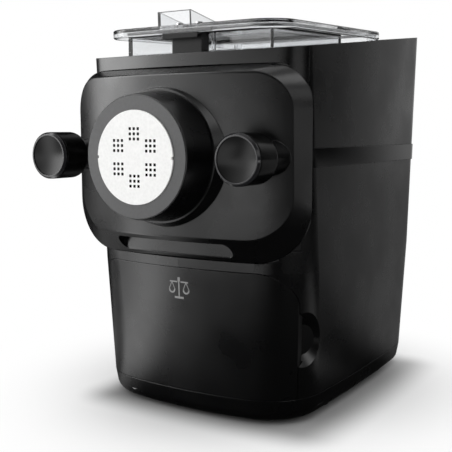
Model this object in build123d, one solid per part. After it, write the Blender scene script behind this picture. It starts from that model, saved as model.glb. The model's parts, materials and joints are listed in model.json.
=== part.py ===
from build123d import *
import math
import os

# Electric pasta maker: upright housing with a removable front panel, two thumb knobs,
# an outlet snout with a shaping disc, a see-through mixing chamber and lid, a storage
# drawer and a geared motor that turns the paddle and the extruding screw.
# Millimetres. +Z is up, the front faces -Y, and the origin lies on the table under
# the middle of the machine.

os.makedirs("parts", exist_ok=True)

# ---- fits and walls ----------------------------------------
seam = 0.4          # visible line between two cover pieces
slide_gap = 0.5     # clearance around pieces that slide or lift
rod_gap = 0.35      # radial clearance of a bore that slides along a rod
running = 0.05      # radial clearance of a turning fit
seat = 0.05         # clearance of a piece seated on its neighbour
inner_gap = 0.2     # inner plates to the inside of the housing
wall = 2.8          # moulded housing wall
clear_wall = 3.0    # wall of the see-through chamber
plate_thickness = 3.0
over = 1.0          # how far a cutter runs past the faces it opens
reach = 150.0       # half size of a zone that is wider than the machine

# ---- drive line ----------------------------------------
axis_z = 204.0              # height of the screw and output shaft axis
output_module = 2.0
input_module = 1.5
gear_teeth = 54
pinion_teeth = 14
pressure_angle = 25.0
tooth_backlash = 0.15
idler_z = axis_z - output_module * (gear_teeth + pinion_teeth) / 2
motor_z = idler_z - input_module * (gear_teeth + pinion_teeth) / 2

# ---- housing: plan outlines at three heights ----------------------------------------
base_seam_z = 20.4
belt_z = 118.0              # line above the drawer where the taper changes
housing_top_z = 325.0       # above the highest point of the slanted rim
base_half_width = 97.9
belt_half_width = 100.2
top_half_width = 101.5
base_front_y = -107.5
belt_front_y = -111.5
base_rear_y = 144.0
belt_rear_y = 153.0
base_front_radius = 48.0
belt_front_radius = 42.0
top_front_radius = 15.0
rear_radius = 32.0
front_bow = 13.0            # how far the front bulges ahead of its corners
side_bow = 4.0
rear_bow = 3.0
cover_split_x = 74.0        # upright seams between the side covers and the rear cover
rear_vents = 7
rear_vent_half_width = 34.0
rear_vent_height = 3.0
rear_vent_pitch = 7.0
rear_vent_z = 228.0         # lowest slot

# ---- slanted rim and deck ----------------------------------------
rim_front_z = 280.0
rim_tilt = 6.7
deck_drop = 5.0
deck_thickness = 3.0

# ---- front panel ----------------------------------------
face_setback = 0.2          # panel face's side edges behind the housing's foremost line
face_bow = 22.0             # how far the middle of the face stands ahead of its side edges
rim_bow = 12.0              # the same for the panel's rear edge
bow_power = 2.6             # 2 bows evenly, more keeps the middle flat
panel_depth = 12.3
panel_rear_half_width = 108.0
panel_rear_drop = 77.5      # rear outline below the drive axis
panel_rear_rise = 65.8
panel_rear_radius = 30.0    # upper corners
panel_rear_low_radius = 42.0
panel_face_half_width = 98.0
panel_face_drop = 59.5
panel_face_rise = 59.8
panel_face_radius = 27.0
panel_face_low_radius = 33.0
panel_edge_round = 1.6
panel_lean = 3.2            # the face leans back this much towards its lower edge
panel_skin = 3.2
panel_border = 9.0          # solid border around the hollow back
bow_steps = 6
panel_rib = 2.4
grip_half_width = 52.0
grip_height = 11.0
grip_wall = 2.5             # panel left behind the grip
grip_rise = 3.4             # grip above the panel's lower edge
face_y = belt_front_y + face_setback
pocket_y = face_y + panel_depth
panel_rear_y = pocket_y - slide_gap
panel_rear_bottom_z = axis_z - panel_rear_drop
panel_rear_top_z = axis_z + panel_rear_rise
panel_face_bottom_z = axis_z - panel_face_drop
panel_face_top_z = axis_z + panel_face_rise
face_front_y = face_y - face_bow

# ---- front fascia and the pocket for the panel ----------------------------------------
pocket_gap = 0.8
pad_inset = 3.5
pad_half_width = 94.0
fascia_depth = 13.0
fascia_drop = 69.0          # fascia's lower edge below the drive axis
pocket_bottom_z = panel_rear_bottom_z - pocket_gap
pocket_top_z = panel_rear_top_z + pocket_gap
pad_bottom_z = panel_rear_bottom_z + pad_inset
pad_top_z = panel_rear_top_z - pad_inset
fascia_split_y = pocket_y + fascia_depth
fascia_bottom_z = axis_z - fascia_drop

# ---- snout ----------------------------------------
snout_length = 29.4         # ahead of the middle of the face
snout_seat_step = 2.2       # raised seat around the snout
snout_front_radius = 44.4
snout_rear_radius = 47.8
snout_wall = 4.0
halo_radius = 57.0          # foot of the flare behind the seat
ring_outer_radius = 43.4
ring_thickness = 1.4
ring_proud = 0.3
disc_radius = 33.4
disc_gap = 0.2
disc_proud = 1.3
disc_thickness = 6.2
notch_size = 2.4
hole_side = 2.0
hole_pitch = 3.6
hole_circle = 16.6
hole_groups = 6
hole_rows = 3
tube_outer_radius = 28.0
tube_wall = 5.4
tube_flange_radius = 33.2
tube_flange_thickness = 4.0
snout_front_y = face_front_y - snout_length
snout_seat_y = face_front_y - snout_seat_step
disc_front_y = snout_front_y - disc_proud
disc_rear_y = disc_front_y + disc_thickness
tube_inner_radius = tube_outer_radius - tube_wall

# ---- knobs and tie rods ----------------------------------------
knob_x = 83.5
knob_length = 28.7
knob_radius = 17.75
knob_ring_inner = 15.1
knob_ring_depth = 2.4
knob_ring_chamfer = 1.4
knob_dish = 1.6
knob_groove = 0.9
knob_rear_round = 5.0
neck_radius = 11.2
neck_length = 3.1
boss_length = 20.4
boss_front_radius = 11.7
boss_rear_radius = 12.7
rod_radius = 4.0
rod_setback = 14.5          # rod's end behind the knob's face
nut_across = 13.0
nut_thickness = 5.0
boss_front_y = face_y - boss_length
knob_rear_y = boss_front_y - neck_length
knob_face_y = knob_rear_y - knob_length
rod_front_y = knob_face_y + rod_setback

# ---- mixing chamber, paddle and screw ----------------------------------------
chamber_radius = 67.3
chamber_setback = 14.0      # chamber behind the pocket's floor
chamber_length = 119.5
chamber_gap = 1.0           # deck opening around the chamber
seal_length = 7.5
seal_wall = 6.0
paddle_side_gap = 6.3
paddle_front_gap = 6.0
paddle_rear_gap = 17.5
paddle_bar_radius = 4.0
paddle_spoke_radius = 3.5
hub_radius = 9.0
square_drive = 9.0
square_length = 8.0
square_gap = 0.1
coupling_wall = 3.0
auger_gap = 0.6
auger_core_radius = 8.0
auger_pitch = 24.0
auger_end_gap = 5.8
flight_angle = 60.0
chamber_front_y = pocket_y + chamber_setback
chamber_rear_y = chamber_front_y + chamber_length
paddle_front_y = chamber_front_y + paddle_front_gap
paddle_rear_y = chamber_rear_y - paddle_rear_gap
paddle_radius = chamber_radius - clear_wall - paddle_side_gap
auger_radius = tube_inner_radius - auger_gap
auger_front_y = disc_rear_y + auger_end_gap

# ---- lid ----------------------------------------
lid_y = -99.0               # where the lid's own frame starts, on its lower edge
lid_z = 296.0
lid_tilt = 2.44
lid_half_width = 81.6
lid_front_y = -103.0
lid_length = 209.0
lid_corner_radius = 26.0
lid_height = 6.6
lid_plate = 2.8
lid_skirt = 2.4
lid_edge_round = 1.2
lid_foot_x = 70.0
lid_foot_inset = 12.0       # feet ahead of the lid's rear edge
lid_foot_size = 6.0
seal_rib = 3.4
funnel_x = -24.0
funnel_half_width = 16.0
funnel_front_y = -80.7
funnel_length = 64.0
funnel_height = 13.3
funnel_wall = 2.0
funnel_slots = 4
funnel_slot = 4.0
funnel_slot_pitch = 9.0
key_half_width = 13.6
key_front_y = -98.5
key_depth = 10.0
key_drop = 6.0              # key's lower end below the rim's front
key_gap = 1.0
key_tab_half_width = 16.0
key_tab_front_y = -108.0
key_tab_height = 3.8
key_flange_half_width = 22.0
key_screw_x = 9.0
key_screw_radius = 1.4
key_screw_head = 2.8
key_bottom_z = rim_front_z - key_drop
lid_rear_y = lid_front_y + lid_length
lid_foot_y = lid_rear_y - lid_foot_inset

# ---- inner structure ----------------------------------------
chassis_rise = 4.0          # chassis plate above the belt line
chassis_hole = 9.0
cradle_half_width = 46.0
cradle_height = 41.0
bay_half_width = 80.0
bay_front_y = -66.0
bay_wall = 2.0
bay_lift = 2.6              # bay floor above the base seam
chassis_z = belt_z + chassis_rise
bulkhead_y = chamber_rear_y + seal_length
bay_bottom_z = base_seam_z + bay_lift

# ---- gearbox and motor ----------------------------------------
gearbox_front_length = 17.0
gearbox_rear_length = 27.0
gearbox_wall = 3.0
gearbox_top_radius = 62.0
gearbox_mid_radius = 48.0
gearbox_low_radius = 31.0
lug_radius = 6.0
lug_offset = 4.0            # screw lug centres outside the gearbox outline
lug_screw_radius = 2.0
output_gear_width = 12.0
output_gear_setback = 11.0
input_gear_width = 8.0
gear_step = 2.0             # space between the two gear stages
gear_web_depth = 4.0
output_shaft_radius = 6.0
idler_shaft_radius = 4.0
motor_shaft_radius = 2.5
bearing_radius = 14.0
bearing_width = 8.0
bearing_ball = 2.4
bearing_balls = 9
bush_radius = 6.5
bush_width = 6.0
motor_radius = 30.0
motor_length = 48.0
motor_cap_length = 5.0
motor_wall = 2.5
magnet_inner_radius = 22.0
magnet_length = 28.0
magnet_setback = 14.0
rotor_gap = 1.5
rotor_slots = 10
fan_blades = 7
gearbox_front_y = bulkhead_y + plate_thickness
gearbox_split_y = gearbox_front_y + gearbox_front_length
gearbox_rear_y = gearbox_split_y + gearbox_rear_length
output_gear_y = gearbox_front_y + output_gear_setback
input_gear_y = output_gear_y + output_gear_width + gear_step
motor_front_y = gearbox_rear_y + seat
motor_cap_y = motor_front_y + motor_length

# ---- base ----------------------------------------
foot_height = 2.2
pan_edge_inset = 3.0
pan_edge_radius = 10.0
foot_x = 63.0
foot_front_y = -62.0
foot_rear_y = 100.0
foot_radius = 10.0
foot_stem_radius = 4.0
foot_gap = 0.3
load_cell_size = 30.0
load_cell_thickness = 2.5
load_boss_height = 2.2
base_screw_x = 86.0
base_screw_rows = (-36.0, 20.0, 74.0)
base_screw_radius = 1.6
base_head_radius = 3.4
base_head_height = 2.0
screw_length = 24.0
post_radius = 6.0
post_height = 30.0
vent_slots = 8
vent_slot = 3.0
vent_pitch = 7.0
vent_half_width = 34.0
vent_front_y = 62.0
pan_floor_z = foot_height + wall

# ---- power board ----------------------------------------
power_board_x = -11.0
power_board_width = 70.0
power_board_front_y = 58.0
power_board_depth = 60.0
standoff = 4.0
standoff_radius = 2.5
transformer_width = 26.0
transformer_depth = 28.0
transformer_height = 20.0
sink_width = 22.0
sink_thickness = 6.0
sink_height = 14.0
capacitor_radius = 5.5
capacitor_height = 17.0

# ---- drawer ----------------------------------------
drawer_bottom_half_width = 88.0
drawer_top_half_width = 92.0
drawer_corner_radius = 25.0
tray_gap = 1.0
tray_height = 84.0
tray_rear_gap = 3.8
tray_half_width = bay_half_width - bay_wall - tray_gap
tray_rear_y = bulkhead_y - inner_gap - bay_wall - tray_rear_gap
tray_bottom_z = bay_bottom_z + bay_wall + slide_gap

# ---- thumb recess behind the drawer's edge ----------------------------------------
scoop_radius = 18.4
scoop_floor_radius = 12.0
scoop_depth = 5.0
scoop_lean = 28.0           # how far the recess turns from the side towards the front
scoop_x = 91.4
scoop_y = -76.3
scoop_z = 65.0

# ---- band, controls, inlet ----------------------------------------
band_bottom_z = 196.1
band_top_z = 210.2
band_front_y = -80.0
band_proud = 1.0
band_depth = 1.1
control_half_width = 74.0
control_gap = 8.0           # from the lid's rear edge, along the slanted deck
control_depth = 36.0
control_margin = 15.3       # from the control panel to the rear of the rim
control_thickness = 3.0
window_left_x = -68.0
window_right_x = -26.0
window_margin = 6.0
window_recess = 1.4
board_thickness = 1.6
board_depth = 15.0          # control board below the rim
button_width = 15.0
button_depth = 10.0
button_height = 8.4
button_sink = 1.2           # button tops below the rim
button_travel = 1.2
button_first_x = -12.0
button_pitch = 24.0
button_names = ("power_button", "program_button", "weight_button", "start_button")
sensor_width = 14.0
sensor_length = 8.0
sensor_height = 5.0
inlet_x = 55.0
inlet_z = 48.0
inlet_radius = 8.0
inlet_bore = 3.6
inlet_depth = 12.0
deck_slope = math.cos(math.radians(rim_tilt))
control_start = (lid_rear_y - belt_front_y) / deck_slope + control_gap
control_rear_y = belt_front_y + (control_start + control_depth) * deck_slope
top_rear_y = control_rear_y + control_margin


# ---- small helpers ----------------------------------------
def block(x0, x1, y0, y1, z0, z1):
    """Box between two corners."""
    middle = Pos((x0 + x1) / 2, (y0 + y1) / 2, (z0 + z1) / 2)
    return middle * Box(x1 - x0, y1 - y0, z1 - z0)


def rod(radius, y0, y1, x=0.0, z=axis_z):
    """Cylinder along Y."""
    return Pos(x, (y0 + y1) / 2, z) * Rot(90, 0, 0) * Cylinder(radius, y1 - y0)


def tube(outer, inner, y0, y1, x=0.0, z=axis_z):
    """Cylinder along Y with a bore."""
    return rod(outer, y0, y1, x, z) - rod(inner, y0 - over, y1 + over, x, z)


def taper(front_radius, back_radius, y0, y1, x=0.0, z=axis_z):
    """Cone along Y, from its front radius at y0 to its back radius at y1."""
    return Pos(x, (y0 + y1) / 2, z) * Rot(90, 0, 0) * Cone(back_radius, front_radius, y1 - y0)


def pillar(radius, x, y, z0, z1):
    """Cylinder along Z."""
    return Pos(x, y, (z0 + z1) / 2) * Cylinder(radius, z1 - z0)


def square_bar(side, y0, y1):
    return block(-side / 2, side / 2, y0, y1, axis_z - side / 2, axis_z + side / 2)


def hex_nut(across, bore, y0, y1, x):
    """Hexagon nut on a rod along Y at the drive height."""
    outline = RegularPolygon(across / 2, 6, major_radius=False)
    blank = Plane(origin=(x, y1, axis_z), z_dir=(0, -1, 0)) * outline
    return extrude(blank, y1 - y0) - rod(bore, y0 - over, y1 + over, x)


def group(solids):
    return Compound(children=list(solids))


def save(node, shape):
    export_step(shape, f"parts/{node}.step")


# ---- housing outline ----------------------------------------
def plan_outline(z, half_width, front, rear, front_radius, inset):
    """Bowed, rounded plan of the housing at one height."""
    x = half_width - inset
    front = front + inset
    rear = rear - inset
    front_corner = front + front_bow
    rear_corner = rear - rear_bow
    middle = (front_corner + rear_corner) / 2
    side = x - side_bow
    edges = [
        ThreePointArc((-side, front_corner), (0, front), (side, front_corner)),
        ThreePointArc((side, front_corner), (x, middle), (side, rear_corner)),
        ThreePointArc((side, rear_corner), (0, rear), (-side, rear_corner)),
        ThreePointArc((-side, rear_corner), (-x, middle), (-side, front_corner)),
    ]
    outline = make_face(edges)
    outline = fillet(outline.vertices().sort_by(Axis.Y)[:2], front_radius - inset)
    outline = fillet(outline.vertices().sort_by(Axis.Y)[-2:], rear_radius - inset)
    return Pos(0, 0, z) * outline


def base_outline(z, inset):
    return plan_outline(z, base_half_width, base_front_y, base_rear_y, base_front_radius, inset)


def housing(inset=0.0, extend=0.0):
    """Filled housing shape, moved in by inset and longer by extend at both ends."""
    belt = (belt_half_width, belt_front_y, belt_rear_y, belt_front_radius)
    top = (top_half_width, belt_front_y, top_rear_y, top_front_radius)
    levels = [
        base_outline(base_seam_z - extend, inset),
        plan_outline(belt_z, *belt, inset),
        plan_outline(housing_top_z + extend, *top, inset),
    ]
    return loft(levels, ruled=True)


def deck_frame():
    """Frame on the slanted rim: local Y runs up the slope, local Z is its normal."""
    return Location((0, belt_front_y, rim_front_z), (rim_tilt, 0, 0))


def deck_z(y):
    """Height of the rim's plane at a level Y."""
    return rim_front_z + (y - belt_front_y) * math.tan(math.radians(rim_tilt))


def lid_frame():
    return Location((0, lid_y, lid_z), (lid_tilt, 0, 0))


def below(frame, drop=0.0):
    """Everything below a slanted plane."""
    size = 6 * reach
    return frame * Pos(0, 0, -drop - size / 2) * Box(size, size, size)


# ---- covers ----------------------------------------
def pocket_void():
    """Room in the housing's front where the panel sits, open to the sides."""
    outline = rounded_front(panel_rear_half_width + pocket_gap, pocket_bottom_z, pocket_top_z,
                            panel_rear_radius + pocket_gap, panel_rear_low_radius + pocket_gap)
    return extrude(front_plane(pocket_y) * outline, reach)


def seat_pad(inset):
    """Block that the panel seats on, smaller and further back by inset."""
    outline = rounded_front(pad_half_width - inset, pad_bottom_z + inset, pad_top_z - inset,
                            panel_rear_radius - inset, panel_rear_low_radius - inset)
    rear = fascia_split_y + wall + inset
    return extrude(front_plane(rear) * outline, rear - pocket_y - inset)


def skin():
    """Housing wall with the flat pocket and the pad that the panel seats on."""
    shelf = wall / 2
    liner = block(-reach, reach, -reach, pocket_y + wall, pocket_bottom_z - wall, pocket_top_z + shelf)
    outer = housing() + seat_pad(0.0)
    inner = (housing(wall, over) - liner) + seat_pad(wall)
    return outer - pocket_void() - inner


def fascia_zone(gap):
    """Zone of the front fascia, smaller by gap."""
    return block(-reach - 10, reach + 10, -reach, fascia_split_y - gap,
                 fascia_bottom_z + gap, housing_top_z + over)


def rod_holes(y0, y1):
    holes = [rod(rod_radius + rod_gap, y0, y1, side * knob_x) for side in (-1, 1)]
    return holes[0] + holes[1]


def make_front_fascia(shell):
    fascia = (shell & fascia_zone(seam / 2)) & below(deck_frame())
    front, rear = pocket_y - over, pocket_y + wall + over
    fascia -= rod(tube_outer_radius + slide_gap, front, rear)
    return fascia - rod_holes(front, rear)


def drawer_profile(gap):
    """Front view outline of the drawer front, smaller by gap, as a prism through the front."""
    low = base_seam_z + gap
    top = belt_z - gap
    half_low = drawer_bottom_half_width - gap
    half_top = drawer_top_half_width - gap
    outline = make_face(Polyline((-half_low, low), (half_low, low), (half_top, top),
                                 (-half_top, top), close=True))
    corners = outline.vertices().sort_by(Axis.Y)[-2:]
    outline = fillet(corners, drawer_corner_radius - gap)
    front = Plane(origin=(0, bay_front_y + base_front_radius / 3, 0), x_dir=(1, 0, 0), z_dir=(0, -1, 0))
    return extrude(front * outline, reach / 2)


def scoop(side, grow):
    """Round recess with a flat floor in the housing's side, larger by grow."""
    slope = (scoop_radius - scoop_floor_radius) / scoop_depth
    depth = scoop_depth + grow
    height = 2 * depth
    lean = math.radians(scoop_lean)
    mouth = Plane(origin=(side * scoop_x, scoop_y, scoop_z),
                  z_dir=(side * math.cos(lean), -math.sin(lean), 0))
    floor_radius = scoop_floor_radius + grow
    return mouth * Pos(0, 0, height / 2 - depth) * Cone(floor_radius, floor_radius + slope * height, height)


def screw_spots():
    """Base screw positions, just inside the housing wall."""
    return [(side * base_screw_x, y) for side in (-1, 1) for y in base_screw_rows]


def inlet_rear_y():
    """Level Y of the rear wall's outside where the inlet sits."""
    share = (inlet_z - base_seam_z) / (belt_z - base_seam_z)
    bow = rear_bow * (inlet_x / base_half_width) ** 2
    return base_rear_y + (belt_rear_y - base_rear_y) * share - bow


def make_covers(shell, full):
    """Sides, rear and front frame in one, before they are split."""
    body = (shell - fascia_zone(-seam / 2)) & below(deck_frame())
    body -= drawer_profile(-seam)
    drawer_room = drawer_profile(-seam) - housing(wall + slide_gap, over)
    for side in (-1, 1):
        cup = (scoop(side, wall) & housing(wall - slide_gap)) - drawer_room
        body = (body + cup) - scoop(side, 0.0)
    for x, y in screw_spots():
        outward = math.copysign(2 * post_radius, x)
        x0, x1 = sorted((x - outward / 2, x + outward))
        post = block(x0, x1, y - post_radius, y + post_radius, base_seam_z, base_seam_z + post_height)
        bore = pillar(base_screw_radius + seat, x, y, base_seam_z - over, base_seam_z + screw_length)
        body += (post & full) - bore
    groove = (housing(-2 * wall) - housing(band_depth)) & band_zone(0.0)
    body -= groove
    return body - rod(inlet_radius + seat, inlet_rear_y() - 2 * inlet_depth, reach + 2 * inlet_depth,
                      inlet_x, inlet_z)


def rear_zone(gap):
    """Zone of the rear cover, smaller by gap."""
    half = cover_split_x - gap
    return block(-half, half, 0, 2 * reach, 0, housing_top_z)


def make_side_cover(covers, side):
    """One side with half of the frame around the drawer; the halves meet in the middle."""
    x0, x1 = sorted((0, side * reach))
    half = covers & block(x0, x1, -reach, 2 * reach, 0, housing_top_z)
    return half - rear_zone(-seam / 2)


def make_rear_cover(covers):
    cover = covers & rear_zone(seam / 2)
    for row in range(rear_vents):
        z = rear_vent_z + rear_vent_pitch * row
        cover -= block(-rear_vent_half_width, rear_vent_half_width, 0, 2 * reach, z, z + rear_vent_height)
    return cover


def band_zone(gap):
    return block(-reach, reach, band_front_y + gap, 2 * reach, band_bottom_z + gap, band_top_z - gap)


def make_side_band():
    return (housing(-band_proud) - housing(band_depth - seat)) & band_zone(seat)


def make_base_pan():
    top = base_seam_z - seam
    pan = loft([base_outline(top, 0.0), base_outline(foot_height, pan_edge_inset)], ruled=True)
    pan = fillet(pan.edges().group_by(Axis.Z)[0], pan_edge_radius)
    low_inset = pan_edge_inset + 2 * wall
    pan -= loft([base_outline(top + over, wall), base_outline(pan_floor_z, low_inset)], ruled=True)
    boss_top = pan_floor_z + load_boss_height
    for x, y in foot_spots():
        boss = pillar(load_cell_size / 2 - 1, x, y, pan_floor_z - over, boss_top)
        pan += boss - pillar(load_cell_size / 2 - 4, x, y, pan_floor_z - 2 * over, boss_top + over)
        pan -= pillar(foot_stem_radius + foot_gap, x, y, 0, pan_floor_z + over)
    for x, y in screw_spots():
        pan += pillar(post_radius, x, y, pan_floor_z - over, top)
        pan -= pillar(base_screw_radius + inner_gap, x, y, 0, base_seam_z)
        pan -= pillar(base_head_radius + slide_gap, x, y, 0, pan_floor_z + over)
    for row in range(vent_slots):
        y = vent_front_y + vent_pitch * row
        pan -= block(-vent_half_width, vent_half_width, y, y + vent_slot, 0, pan_floor_z + over)
    return pan


def foot_spots():
    return [(side * foot_x, y) for side in (-1, 1) for y in (foot_front_y, foot_rear_y)]


def make_feet():
    feet = []
    for x, y in foot_spots():
        pad = pillar(foot_radius, x, y, 0, foot_height - seat)
        pad = fillet(pad.edges().sort_by(Axis.Z)[0], foot_height / 3)
        stem_top = pan_floor_z + load_boss_height - seat
        feet.append(pad + pillar(foot_stem_radius, x, y, foot_height / 2, stem_top))
    return group(feet)


def make_load_cells():
    """Square plates, each with two slots that let its middle bend under load."""
    base = pan_floor_z + load_boss_height
    top = base + load_cell_thickness
    half = load_cell_size / 2
    slot = load_cell_size / 10
    cells = []
    for x, y in foot_spots():
        cell = block(x - half, x + half, y - half, y + half, base, top)
        for side in (-1, 1):
            middle = x + side * 3 * slot
            cell -= block(middle - slot / 2, middle + slot / 2, y - 3.5 * slot, y + 2 * slot,
                          base - over, top + over)
        cells.append(cell)
    return group(cells)


def make_base_screws():
    head_z = pan_floor_z + over - base_head_height - seat
    screws = []
    for x, y in screw_spots():
        shank = pillar(base_screw_radius, x, y, head_z + base_head_height / 2, head_z + screw_length)
        screws.append(pillar(base_head_radius, x, y, head_z, head_z + base_head_height) + shank)
    return group(screws)


# ---- deck and controls ----------------------------------------
def along_deck(y):
    """Distance up the slanted deck of a level Y."""
    return (y - belt_front_y) / math.cos(math.radians(rim_tilt))


def deck_block(x0, x1, s0, s1, n0, n1):
    return deck_frame() * block(x0, x1, s0, s1, n0, n1)


def button_spots():
    middle = control_start + control_depth / 2
    return [(button_first_x + button_pitch * index, middle) for index in range(len(button_names))]


def button_room(x, s, gap):
    half_w = button_width / 2 + gap
    half_d = button_depth / 2 + gap
    return deck_block(x - half_w, x + half_w, s - half_d, s + half_d, -board_depth, deck_drop)


def make_top_deck():
    top = -deck_drop
    slab = deck_block(-reach, reach, -20, 3 * reach, top - deck_thickness, top)
    deck = slab & housing(wall + inner_gap)
    low, high = rim_front_z / 2, housing_top_z
    half = chamber_radius + chamber_gap
    deck -= block(-half, half, chamber_front_y - 4.5 * chamber_gap, chamber_rear_y + chamber_gap, low, high)
    half = key_half_width + key_gap
    deck -= block(-half, half, key_front_y - key_gap, key_front_y + key_depth + key_gap, low, high)
    for x, s in button_spots():
        deck -= button_room(x, s, slide_gap)
    return deck


def window_block(gap, low, high):
    return deck_block(window_left_x + gap, window_right_x - gap, control_start + window_margin + gap,
                      control_start + control_depth - window_margin - gap, low, high)


def make_control_panel():
    base = -deck_drop
    plate = deck_block(-control_half_width, control_half_width, control_start,
                       control_start + control_depth, base + seat, base + control_thickness)
    for x, s in button_spots():
        plate -= button_room(x, s, slide_gap)
    return plate - window_block(0.0, base + window_recess, base + control_thickness + over)


def make_display_window():
    base = -deck_drop
    return window_block(seat, base + window_recess + seat, base + control_thickness)


def make_control_board():
    """Circuit board with a small switch under each button, hung from the deck on posts."""
    edge = 2.0
    post_radius_ = 3.0
    low = -board_depth
    top = low + board_thickness
    half = control_half_width - 2 * edge
    board = deck_block(-half, half, control_start + edge, control_start + control_depth - edge, low, top)
    switch = button_width / 5
    switch_top = -button_sink - button_height - button_travel - rod_gap
    for x, s in button_spots():
        board += deck_block(x - switch, x + switch, s - switch, s + switch, top, switch_top)
    for x in (-half + window_margin, 0.0, half - 2 * edge):
        post = pillar(post_radius_, x, control_start + 4 * edge, top, -deck_drop - deck_thickness)
        board += deck_frame() * post
    return board


def make_button(x, s):
    half_w = button_width / 2
    half_d = button_depth / 2
    cap = deck_block(x - half_w, x + half_w, s - half_d, s + half_d,
                     -button_sink - button_height, -button_sink)
    return fillet(cap.edges().group_by(Axis.Z)[-1], button_height / 14)


def make_lid_sensor():
    """Lid switch under the deck, beside the slot for the lid's key."""
    top = -deck_drop - deck_thickness
    start = along_deck(pocket_y + wall + slide_gap)
    left = key_half_width + 2 * key_gap
    return deck_block(left, left + sensor_width, start, start + sensor_length, top - sensor_height, top)


# ---- inner frame ----------------------------------------
def make_chassis_plate():
    slab = block(-reach, reach, -reach, bulkhead_y, chassis_z, chassis_z + plate_thickness)
    front_room = block(-reach, reach, -reach, pocket_y + wall + slide_gap, 0, 3 * reach)
    plate = (slab & housing(wall + inner_gap)) - front_room
    for x in (-cradle_half_width, 0.0, cradle_half_width):
        plate -= pillar(chassis_hole, x, (chamber_front_y + chamber_rear_y) / 2,
                        chassis_z - over, chassis_z + plate_thickness + over)
    return plate


def make_bulkhead():
    rear = bulkhead_y + plate_thickness
    slab = block(-reach, reach, bulkhead_y, rear, base_seam_z + over, rim_front_z - 2 * deck_drop)
    bulkhead = slab & housing(wall + inner_gap)
    bulkhead -= rod(bearing_radius + gearbox_wall, bulkhead_y - over, rear + over)
    return bulkhead - rod_holes(bulkhead_y - over, rear + over)


def make_chamber_cradle():
    """Two saddles that carry the chamber's round bottom."""
    low = chassis_z + plate_thickness
    half = plate_thickness
    saddles = []
    for share in (0.22, 0.82):
        y = chamber_front_y + share * chamber_length
        saddle = block(-cradle_half_width, cradle_half_width, y - half, y + half,
                       low, low + cradle_height)
        saddles.append(saddle - rod(chamber_radius + seat, y - half - over, y + half + over))
    return group(saddles)


def make_drawer_bay():
    rear = bulkhead_y - inner_gap
    top = chassis_z - inner_gap
    outer = block(-bay_half_width, bay_half_width, bay_front_y, rear, bay_bottom_z, top)
    inner = block(bay_wall - bay_half_width, bay_half_width - bay_wall, bay_front_y - over,
                  rear - bay_wall, bay_bottom_z + bay_wall, top - bay_wall)
    return outer - inner


def make_tie_rods():
    """Two long studs, each held by three nuts, that the thumb knobs screw onto."""
    behind_pad = pocket_y + wall + seat
    rear = bulkhead_y + plate_thickness
    nut_starts = (behind_pad, bulkhead_y - nut_thickness, rear)
    rods = []
    for side in (-1, 1):
        x = side * knob_x
        rods.append(rod(rod_radius, rod_front_y, rear + nut_thickness + 2 * over, x))
        for y in nut_starts:
            rods.append(hex_nut(nut_across, rod_radius + seat, y, y + nut_thickness, x))
    return group(rods)


# ---- chamber, screw and paddle ----------------------------------------
def trough(radius, y0, y1, top):
    """Round-bottomed trough shape around the drive axis."""
    return rod(radius, y0, y1) + block(-radius, radius, y0, y1, axis_z, top)


def make_mixing_chamber():
    top = housing_top_z
    tub = trough(chamber_radius, chamber_front_y, chamber_rear_y, top)
    tub -= trough(chamber_radius - clear_wall, chamber_front_y + clear_wall,
                  chamber_rear_y - clear_wall, top + over)
    rib_low = deck_z(chamber_front_y) + over
    for side in (-1, 1):
        x = side * (key_half_width + clear_wall)
        tub += block(x - over, x + over, chamber_front_y - clear_wall, chamber_front_y + over, rib_low, top)
    tub = tub & below(lid_frame(), -slide_gap)
    tub -= rod(tube_outer_radius + rod_gap, chamber_front_y - over, chamber_front_y + clear_wall + over)
    return tub - rod(output_shaft_radius + slide_gap, chamber_rear_y - clear_wall - over,
                     chamber_rear_y + over)


def make_shaft_seal():
    return tube(output_shaft_radius + seal_wall, output_shaft_radius + running,
                chamber_rear_y, gearbox_front_y)


def make_mixing_paddle():
    """Hub with two bars on spokes, one on each side, and two single spokes."""
    paddle = rod(hub_radius, paddle_front_y, paddle_rear_y)
    arm = paddle_radius - paddle_bar_radius
    length = paddle_rear_y - paddle_front_y
    front_bar = (paddle_front_y + 0.07 * length, paddle_front_y + 0.47 * length)
    rear_bar = (paddle_front_y + 0.51 * length, paddle_front_y + 0.93 * length)
    for sign, ends in ((1, front_bar), (-1, rear_bar)):
        z0, z1 = sorted((axis_z, axis_z + sign * arm))
        for y in ends:
            paddle += pillar(paddle_spoke_radius, 0, y, z0, z1)
        paddle += rod(paddle_bar_radius, ends[0] - 2 * over, ends[1] + 2 * over, 0.0, axis_z + sign * arm)
    for side, ends in ((1, front_bar), (-1, rear_bar)):
        spoke = Rot(0, 90, 0) * Cylinder(paddle_spoke_radius, arm)
        paddle += Pos(side * arm / 2, (ends[0] + ends[1]) / 2, axis_z) * spoke
    paddle += square_bar(square_drive, paddle_rear_y - over, paddle_rear_y + square_length)
    return paddle - square_bar(square_drive + 2 * square_gap, paddle_front_y - over,
                               paddle_front_y + square_length + over)


def shaft_front_y():
    return paddle_rear_y + square_length + 4 * square_gap


def make_drive_coupling():
    front = paddle_rear_y + square_gap
    socket_end = shaft_front_y() - 2 * square_gap
    coupling = rod(hub_radius + coupling_wall, front, chamber_rear_y - clear_wall - slide_gap)
    coupling -= square_bar(square_drive + 2 * square_gap, front - over, socket_end)
    return coupling - rod(output_shaft_radius + seat, socket_end, chamber_rear_y)


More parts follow.
